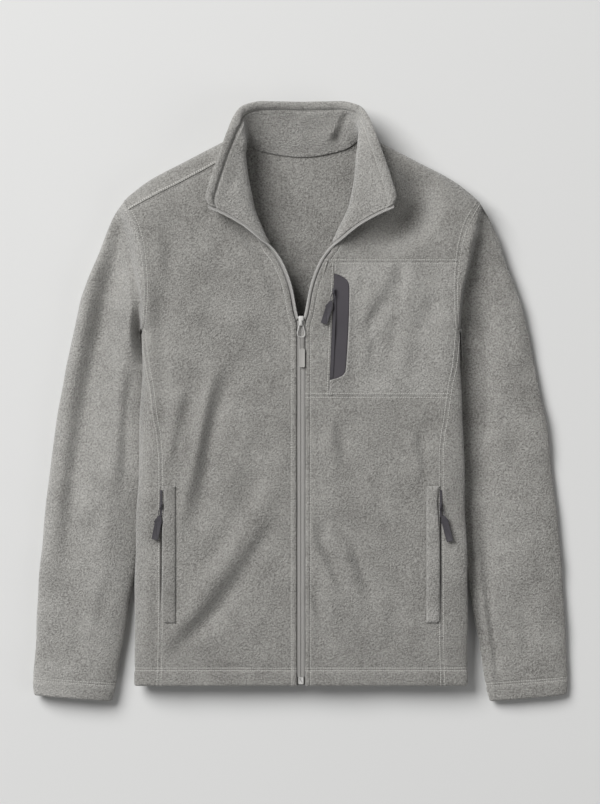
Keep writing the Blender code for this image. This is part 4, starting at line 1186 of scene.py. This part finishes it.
def makeWindow():
    ends = windowPiece["ends"]
    ys = evenSteps(windowEdge[0][0] + ends, windowEdge[-1][0] - ends, windowPiece["grain"])
    start = (stripSeamX(ys) + seamShift(stripSeamX, ys))[:, None]
    end = (windowX(ys) - seamShift(windowX, ys))[:, None]
    xs = start + (end - start) * np.linspace(0, 1, windowPiece["across"] + 1)
    yy = np.repeat(ys[:, None], xs.shape[1], 1)
    lift = waves(xs, yy) + windowPiece["deep"]
    outer = bodyPoint(xs, yy, lift)
    inner = bodyPoint(xs, yy, lift - windowPiece["thick"])
    return makeCloth("chestWindow", outer, inner, mats["darkCloth"])


def makeWelt(name, side):
    look = weltPiece
    inX, outX = smoothCurve(weltRows), smoothCurve(weltRows, 2)
    ys = gradedSteps(weltRows[0][0], weltRows[-1][0], besideEdge, besideEdge, lay["grain"])
    # the lower outer corner is rounded
    corner = np.clip(1 - (ys - ys[0]) / look["corner"], 0, 1)
    start = inX(ys)[:, None]
    end = (outX(ys) - look["corner"] * (1 - np.sqrt(1 - corner ** 2)))[:, None]
    near, between = np.array(look["near"]), np.array(look["between"])
    xs = np.concatenate([start + near, start + (end - start) * between, end - near[::-1]], 1)
    yy = np.repeat(ys[:, None], xs.shape[1], 1)
    d = np.minimum(np.minimum(xs - start, end - xs), np.minimum(yy - ys[0], ys[-1] - yy))
    soft = frontSurface(xs, yy, side) + look["lift"]
    top = soft + look["thick"] - look["roll"] * (1 - rise(d / look["rollWide"]))
    top += look["puff"] * smoothStep(d / look["puffWide"])
    outer = flipX(bodyPoint(xs, yy, top, side=side), side)
    inner = flipX(bodyPoint(xs, yy, soft, side=side), side)
    return makeCloth(name, outer, inner, mats[look["nap"][side]])


pieces["chestWindow"] = makeWindow()
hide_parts("chest_window")
for word, side in bothSides.items():
    pieces["welt" + word] = makeWelt("welt" + word, side)
    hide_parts("welt_" + word.lower())
print("pockets made")


sewnRows = [spread(*row, stitchLook["pitch"]) for row in stitchRows]
spots, alongs, ups = [np.concatenate(part) for part in zip(*sewnRows)]
stitch = roundedBar(stitchLook["length"] / 2, stitchLook["radius"], stitchLook["radius"],
                    stitchLook["rings"], stitchLook["sides"])
spots = spots + ups * stitchLook["raised"]
stitching = placeCopies("stitching", stitch, spots, alongs, ups, mats["thread"])
print("stitches sewn:", len(spots))


chainLook = {
    "closed": (-357.7, 104.9), "grain": 4.0, "aside": 0.3, "sunk": 1.2,
    "beads": (-356.5, 104.0), "beadPitch": 1.9, "bead": (0.75, 0.42, 0.42), "beadSunk": 0.05,
    "beadAside": 0.42, "beadLean": 0.35,
    "openYs": [105.8, 112, 125, 138, 151, 164, 176, 186], "openOut": 2.8, "openSunk": 1.5,
    "toothPitch": 1.7, "tooth": (1.25, 0.55, 0.75), "toothOut": 1.2, "toothUp": 0.6,
    "turnsFrom": 36.0, "turnsUpTo": 52.0,      # x where the tape turns over at the corner
    # a bead's rings: share of half the length, share of the width, drop
    "rings": [(-1, 0.45, 0), (-0.45, 1.0, 0), (0.45, 1.0, 0), (1, 0.45, 0)], "sides": 6,
    # x, z of the band's section and of the open half's, round from the lower left
    "band": [
        (-4.9, -1.1), (-4.9, 0.5), (-4.5, 1.0), (-3.6, 1.15), (-3.1, 0.9), (-2.7, 1.1),
        (-1.5, 1.15), (-0.9, 0.85), (-0.5, 0.1), (-0.2, -0.5), (0.2, -0.5), (0.5, 0.1),
        (0.9, 0.85), (1.5, 1.15), (2.7, 1.1), (3.1, 0.9), (3.6, 1.15), (4.5, 1.0), (4.9, 0.5),
        (4.9, -1.1),
    ],
    "half": [
        (-1.9, -1.1), (-1.9, -0.2), (-1.5, 0.45), (-0.8, 0.85), (0.0, 0.95), (0.8, 0.85),
        (1.5, 0.45), (1.9, -0.2), (1.9, -1.1),
    ],
}
# the half chain's way over the front's corner and along the collar's end, x, y, z
collarChain = [
    (35.2, 194.8, 41.4), (39.4, 199.6, 42.8), (43.4, 203.8, 44.8), (48.0, 208.2, 48.0),
    (54.3, 213.3, 51.0), (62.8, 220.5, 53.4), (73.6, 228.7, 55.2), (86.8, 236.8, 57.2),
    (102.5, 244.9, 59.4), (120.4, 252.6, 62.0),
]


def makeBand(name, path, profile, mat):
    # a band of one section along a path
    along = unit(np.gradient(path, axis=0))
    aside = unit(np.cross(along, (0, 0, 1)))
    up = np.cross(aside, along)
    section = np.array(profile)
    points = path[:, None] + section[:, :1] * aside[:, None] + section[:, 1:] * up[:, None]
    obj = makeObject(name, points, tubeFaces(len(path), len(section)), mat)
    if volumeOf(obj.data) < 0:
        obj.data.flip_normals()
    bpy.context.view_layer.objects.active = obj
    obj.select_set(True)
    bpy.ops.object.shade_smooth_by_angle(angle=math.radians(50))
    bpy.ops.object.select_all(action="DESELECT")
    return obj, aside, up


def makeBeads(name, size, spots, alongs, ups):
    shape = roundedBar(*size, chainLook["rings"], chainLook["sides"])
    return placeCopies(name, shape, spots, alongs, ups, mats["coil"])


def makeClosedChain():
    look = chainLook
    ys = evenSteps(*look["closed"], look["grain"])
    path = np.stack([np.full_like(ys, look["aside"]), ys, frontHeight(ys) - look["sunk"]], -1)
    band, aside, up = makeBand("closedChain", path, look["band"], mats["zipTape"])
    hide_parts("zip_chain")
    ys = np.arange(*look["beads"], look["beadPitch"])
    turn = np.where(np.arange(len(ys)) % 2 == 0, -1, 1)
    across = look["aside"] + turn * look["beadAside"]
    spots = np.stack([across, ys, frontHeight(ys) - look["sunk"] - look["beadSunk"]], -1)
    alongs = np.stack([turn * look["beadLean"], np.ones(len(ys)), np.zeros(len(ys))], -1)
    ups = np.tile((0, 0, 1.0), (len(ys), 1))
    return [band, makeBeads("chainBeads", look["bead"], spots, alongs, ups)]


def makeOpenChain(word, side):
    look = chainLook
    ys = np.array(look["openYs"])
    slope = (frontEdgeX(ys + 1) - frontEdgeX(ys - 1)) / 2
    out = look["openOut"] / np.hypot(1, slope)
    start = bodyPoint(frontEdgeX(ys) - out, ys + out * slope, -look["openSunk"])
    path = flipX(alongPath(np.concatenate([start, np.array(collarChain)]), 90), side)
    half, aside, up = makeBand("openChain" + word, path, look["half"], mats["zipTape"])
    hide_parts("zip_half_" + word.lower())
    run = runAlong(path)
    at = np.arange(2, run[-1] - 1, look["toothPitch"])
    spots, sides, ups = [readAt(at, run, part) for part in (path, -side * aside, up)]
    # the teeth face the opening; past the corner the tape is turned over
    turned = ramp(np.abs(spots[:, :1]), look["turnsFrom"], look["turnsUpTo"])
    spots = spots + look["toothOut"] * sides * np.cos(math.pi * turned) + look["toothUp"] * ups
    return [half, makeBeads("teeth" + word, look["tooth"], spots, sides, ups)]


def paintNode(name, mat):
    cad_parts[name].data.materials.clear()
    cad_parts[name].data.materials.append(mat)


mainZip = makeClosedChain()
for word, side in bothSides.items():
    mainZip += makeOpenChain(word, side)
for obj in mainZip:
    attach(obj, "jacket")
for name in ("zip_tape_left", "zip_tape_right"):
    paintNode(name, mats["zipTape"])
print("main zip made")


def startShape(add, **values):
    # a primitive at the origin, in edit mode with all of it selected
    bpy.ops.object.select_all(action="DESELECT")
    add(location=(0, 0, 0), **values)
    bpy.ops.object.mode_set(mode="EDIT")
    bpy.ops.mesh.select_all(action="SELECT")
    return bpy.context.object


def pickFaces(obj, test):
    # select the faces whose middle and normal pass the test, in mm
    bpy.ops.mesh.select_all(action="DESELECT")
    shape = bmesh.from_edit_mesh(obj.data)
    for face in shape.faces:
        face.select = bool(test(face.calc_center_median() / mm, face.normal))
    shape.select_flush_mode()
    bmesh.update_edit_mesh(obj.data)


def pickEdges(obj, test):
    # select the edges whose two ends pass the test, in mm
    bpy.ops.mesh.select_all(action="DESELECT")
    bpy.ops.mesh.select_mode(type="EDGE")
    shape = bmesh.from_edit_mesh(obj.data)
    for edge in shape.edges:
        edge.select = bool(test(edge.verts[0].co / mm, edge.verts[1].co / mm))
    shape.select_flush_mode()
    bmesh.update_edit_mesh(obj.data)


def sizeTo(low, high):
    # the selected cube of side 2 made to fill a box, in mm
    half = [(b - a) / 2 * mm for a, b in zip(low, high)]
    middle = [(a + b) / 2 * mm for a, b in zip(low, high)]
    bpy.ops.transform.resize(value=half, center_override=(0, 0, 0))
    bpy.ops.transform.translate(value=middle)


def startBlock(look):
    obj = startShape(bpy.ops.mesh.primitive_cube_add, size=2)
    sizeTo(look["low"], look["high"])
    bpy.ops.mesh.select_mode(type="FACE")
    return obj


def placeShape(obj, name, place, turn, mat):
    # turn the whole shape about its own origin, move it and finish it
    bpy.ops.mesh.select_mode(type="VERT")
    bpy.ops.mesh.select_all(action="SELECT")
    if turn:
        bpy.ops.transform.rotate(
            value=-math.radians(turn), orient_axis="Z", center_override=(0, 0, 0))
    bpy.ops.transform.translate(value=[v * mm for v in place])
    bpy.ops.mesh.normals_make_consistent(inside=False)
    bpy.ops.object.mode_set(mode="OBJECT")
    bpy.ops.object.shade_smooth_by_angle(angle=math.radians(40))
    bpy.ops.object.select_all(action="DESELECT")
    obj.name = obj.data.name = name
    obj.data.materials.clear()
    obj.data.materials.append(mat)
    return obj


def roundBlock(obj, look):
    # upright corners rounded, rims softened, the top sunk inside an edge
    bottom, top = look["low"][2], look["high"][2]
    pickEdges(obj, lambda a, b: abs(a.z - b.z) > (top - bottom) / 2)
    bpy.ops.mesh.bevel(offset=look["corner"] * mm, segments=4)
    for z in (bottom, top):
        pickEdges(obj, lambda a, b: max(abs(a.z - z), abs(b.z - z)) < 0.01)
        bpy.ops.mesh.bevel(offset=look["rim"] * mm, segments=2)
    if look["hollow"]:
        bpy.ops.mesh.select_mode(type="FACE")
        pickFaces(obj, lambda middle, normal: normal.z > 0.9 and middle.z > top - 0.05)
        bpy.ops.mesh.inset(thickness=look["hollow"] * mm)
        bpy.ops.transform.translate(value=(0, 0, -look["sink"] * mm))


def makeSlider(name, place, look, mat):
    # a slider: a plate that narrows towards its foot, with a bridge over it
    obj = startBlock(look)
    pickFaces(obj, lambda middle, normal: normal.y < -0.9)
    bpy.ops.transform.resize(value=(look["foot"], 1, 1))
    roundBlock(obj, look)
    bpy.ops.mesh.select_mode(type="VERT")
    bpy.ops.mesh.select_all(action="DESELECT")
    for start, end, size in look["bridge"]:
        bpy.ops.mesh.primitive_cube_add(size=2, location=(0, 0, 0))
        sizeTo((-size, *start), (size, *end))
        bpy.ops.mesh.bevel(offset=look["bridgeRim"] * mm, segments=2, affect="EDGES")
    return placeShape(obj, name, place, 0, mat)


def makeWire(name, points, radius, place, turn, mat):
    # a wire loop through eight points
    bpy.ops.object.select_all(action="DESELECT")
    bpy.ops.curve.primitive_nurbs_circle_add(radius=1, location=(0, 0, 0))
    wire = bpy.context.object
    line = wire.data.splines[0]
    line.order_u = 3
    line.resolution_u = 4
    for spot, (x, y) in zip(line.points, points):
        spot.co = (x * mm, y * mm, 0, 1)
    wire.data.bevel_depth = radius * mm
    wire.data.bevel_resolution = 2
    bpy.ops.object.convert(target="MESH")
    obj = bpy.context.object
    bpy.ops.object.mode_set(mode="EDIT")
    return placeShape(obj, name, place, turn, mat)


def makeTab(name, look, place, turn, mat):
    # a moulded tab; its shoulder narrows to the neck that the loop runs through
    obj = startBlock(look)
    if look["neck"]:
        pickFaces(obj, lambda middle, normal: normal.y > 0.9)
        bpy.ops.mesh.extrude_region_move(
            TRANSFORM_OT_translate={"value": (0, look["shoulder"] * mm, 0)})
        bpy.ops.transform.resize(value=(look["neck"], 1, 0.9))
    roundBlock(obj, look)
    return placeShape(obj, name, place, turn, mat)


def makeLink(name, look, place, mat):
    # two short cords side by side
    obj = startShape(bpy.ops.mesh.primitive_cylinder_add, vertices=12, radius=1, depth=2)
    bpy.ops.transform.rotate(value=math.pi / 2, orient_axis="X", center_override=(0, 0, 0))
    radius, (start, end), (left, right) = look["radius"] * mm, look["span"], look["cords"]
    bpy.ops.transform.resize(value=(radius, (end - start) / 2 * mm, radius))
    bpy.ops.transform.translate(value=(left * mm, (start + end) / 2 * mm, 0))
    bpy.ops.mesh.select_mode(type="FACE")
    pickFaces(obj, lambda middle, normal: abs(normal.y) > 0.9)
    bpy.ops.mesh.bevel(offset=look["rim"] * mm, segments=2)
    bpy.ops.mesh.select_all(action="SELECT")
    bpy.ops.mesh.duplicate_move(
        TRANSFORM_OT_translate={"value": ((right - left) * mm, 0, 0)})
    return placeShape(obj, name, place, 0, mat)


mainSlider = {
    "low": (-3.5, -2.5, -2.2), "high": (3.5, 10.5, -1.0), "foot": 0.8, "corner": 1.6, "rim": 0.3,
    "hollow": 0, "bridgeRim": 0.28,
    "bridge": [((3.2, -1.2), (5.4, 2.1), 1.4), ((-2.1, 1.1), (5.0, 2.0), 1.3)],
}
mainPull = {
    "place": (0.0, 100.5, 44.4), "wire": 0.7,
    "ring": [(0, 0.6), (2.6, 0), (4.0, -7.5), (7.2, -16.6), (0.2, -17.0), (-6.9, -16.6),
             (-3.8, -7.5), (-2.6, 0)],
    "link": {"radius": 0.62, "span": (-31.9, -15.6), "cords": (0.3, 2.7), "rim": 0.3},
    "tab": {"low": (-2.1, -56.3, -1.2), "high": (5.1, -31.7, 1.2), "neck": 0,
            "corner": 1.8, "rim": 0.45, "hollow": 0.9, "sink": 0.3},
}
pocketSlider = {
    "low": (-2.2, -3.0, -2.4), "high": (2.2, 6.0, -0.9), "foot": 0.75, "corner": 0.9, "rim": 0.3,
    "hollow": 0, "bridgeRim": 0.28,
    "bridge": [((2.4, -1.2), (4.2, 1.7), 0.7), ((-1.4, 0.8), (3.8, 1.6), 0.6)],
}
pocketPull = {
    "wire": 0.5,
    "loop": [(0, 0.2), (2.2, 0), (2.1, -5.5), (2.2, -11), (0, -11.6), (-2.2, -11), (-2.1, -5.5),
             (-2.2, 0)],
    "tab": {"high": (4.4, -18.0, 1.0), "neck": 0.5, "shoulder": 6.2, "corner": 1.0, "rim": 0.4,
            "hollow": 1.0, "sink": 0.25},
}
# name, node, body, pivot x, y, z, turn of the pull, length of the pull
pocketPulls = [
    ("chest", "chest", "chest_zip_pull", (42.6, 141.0, 45.2), -18, 42.0),
    ("pocketRight", "pocket_right", "right_pocket_pull", (-181.4, -137.0, 45.42), -11, 43.0),
    ("pocketLeft", "pocket_left", "left_pocket_pull", (181.4, -137.0, 45.42), 15, 46.0),
]
footBoxLook = {
    "place": (0.0, -362.75, 31.1), "low": (-3.4, -4.75, -1.7), "high": (3.4, 4.75, 1.7),
    "neck": 0, "corner": 1.0, "rim": 0.4, "hollow": 1.1, "sink": 0.3,
}


def addPiece(obj, node, body):
    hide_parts(node)
    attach(obj, body)


place, metal, rubber = mainPull["place"], mats["sliderMetal"], mats["pullRubber"]
addPiece(makeSlider("slider", place, mainSlider, metal), "zip_slider", "jacket")
addPiece(makeWire("pullRing", mainPull["ring"], mainPull["wire"], place, 0, metal), "pull_ring",
         "main_pull")
addPiece(makeLink("pullLink", mainPull["link"], place, rubber), "pull_link", "main_pull")
addPiece(makeTab("pullTab", mainPull["tab"], place, 0, rubber), "pull_tab", "main_pull")
dark = mats["darkTrim"]
for name, node, body, place, turn, length in pocketPulls:
    tab = {**pocketPull["tab"], "low": (-4.4, -length, -1.0)}
    slider = makeSlider(name + "Slider", place, pocketSlider, dark)
    loop = makeWire(name + "Loop", pocketPull["loop"], pocketPull["wire"], place, turn, dark)
    addPiece(slider, node + "_slider", "jacket")
    addPiece(loop, node + "_loop", body)
    addPiece(makeTab(name + "Pull", tab, place, turn, dark), node + "_pull", body)
footBox = makeTab("footBox", footBoxLook, footBoxLook["place"], 0, metal)
addPiece(footBox, "zip_box", "jacket")
for name in ("chest_chain", "pocket_right_chain", "pocket_left_chain"):
    paintNode(name, dark)
print("sliders and pulls made")

# each piece's cut, width and length, and the area of it, in metres
clothSizes = {
    "frontRight": ((0.235, 0.70), 0.124),
    "frontLeftLower": ((0.19, 0.38), 0.0675),
    "frontLeftYoke": ((0.205, 0.143), 0.0175),
    "frontLeftStrip": ((0.038, 0.174), 0.0054),
    "frontLeftChest": ((0.17, 0.174), 0.0262),
    "sideRight": ((0.085, 0.465), 0.034),
    "sideLeft": ((0.085, 0.465), 0.034),
    "backPanel": ((0.47, 0.76), 0.30),
    "sleeveRight": ((0.33, 0.66), 0.144),
    "sleeveLeft": ((0.33, 0.66), 0.140),
    "collar": ((0.52, 0.085), 0.030),
    "chestWindow": ((0.026, 0.138), 0.0028),
    "weltRight": ((0.019, 0.178), 0.0030),
    "weltLeft": ((0.019, 0.178), 0.0030),
}
for name, (flat, area) in clothSizes.items():
    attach(pieces[name], "jacket")
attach(stitching, "jacket")

# the floor and the lights are in metres, the view in millimetres
stage = {
    "floorColour": (0.745, 0.745, 0.737), "floorSize": 12,
    "keyPlace": (-4.24, 3.70, 5.62), "keySize": 5.4, "keyPower": 700.0,
    "fillPlace": (4.8, -2.4, 3.6), "fillSize": 4.0, "fillPower": 40.0,
    "world": 0.19, "backdrop": 0.78,
    "viewCentre": (-1.3, -0.65), "viewHigh": 1045.2, "viewLevel": 30, "cameraHeight": 6000.0,
    "sensor": 36,
}


def makeFloor():
    bpy.ops.mesh.primitive_plane_add(size=stage["floorSize"], location=(0, 0, 0))
    floor = bpy.context.object
    floor.name = "floor"
    mat = bpy.data.materials.new("floor")
    mat.use_nodes = True
    surface = mat.node_tree.nodes["Principled BSDF"]
    surface.inputs["Base Color"].default_value = (*stage["floorColour"], 1)
    surface.inputs["Roughness"].default_value = 0.9
    surface.inputs["Specular IOR Level"].default_value = 0.1
    floor.data.materials.append(mat)
    return floor


def makeLight(name, place, size, power):
    light = bpy.data.lights.new(name, "AREA")
    light.shape = "DISK"
    light.size = size
    light.energy = power
    obj = bpy.data.objects.new(name, light)
    bpy.context.scene.collection.objects.link(obj)
    obj.location = place
    x, y, z = place
    obj.rotation_euler = (math.atan2(math.hypot(x, y), z), 0, math.atan2(y, x) + math.pi / 2)
    return obj


floor = makeFloor()
makeLight("key", stage["keyPlace"], stage["keySize"], stage["keyPower"])
makeLight("fill", stage["fillPlace"], stage["fillSize"], stage["fillPower"])

# a dim white surround for the light, with a pale backdrop behind the floor
world = bpy.data.worlds.new("studio")
bpy.context.scene.world = world
world.use_nodes = True
tree = world.node_tree
surround = tree.nodes["Background"]
backdrop = addNode(tree, "ShaderNodeBackground", (0, 150))
for node, strength in ((surround, stage["world"]), (backdrop, stage["backdrop"])):
    node.inputs["Color"].default_value = (1, 1, 1, 1)
    node.inputs["Strength"].default_value = strength
rays = addNode(tree, "ShaderNodeLightPath", (0, 500))
mixed = addNode(tree, "ShaderNodeMixShader", (250, 300))
tree.links.new(rays.outputs["Is Camera Ray"], mixed.inputs["Fac"])
tree.links.new(surround.outputs["Background"], mixed.inputs[1])
tree.links.new(backdrop.outputs["Background"], mixed.inputs[2])
tree.links.new(mixed.outputs["Shader"], tree.nodes["World Output"].inputs["Surface"])

camera = bpy.data.objects.new("camera", bpy.data.cameras.new("camera"))
bpy.context.scene.collection.objects.link(camera)
camera.location = [v * mm for v in (*stage["viewCentre"], stage["cameraHeight"])]
camera.data.sensor_width = stage["sensor"]
distance = stage["cameraHeight"] - stage["viewLevel"]
camera.data.lens = stage["sensor"] * distance / stage["viewHigh"]
camera.data.clip_end = 50
bpy.context.scene.camera = camera
bpy.context.scene.view_settings.view_transform = "Standard"
print("stage set")
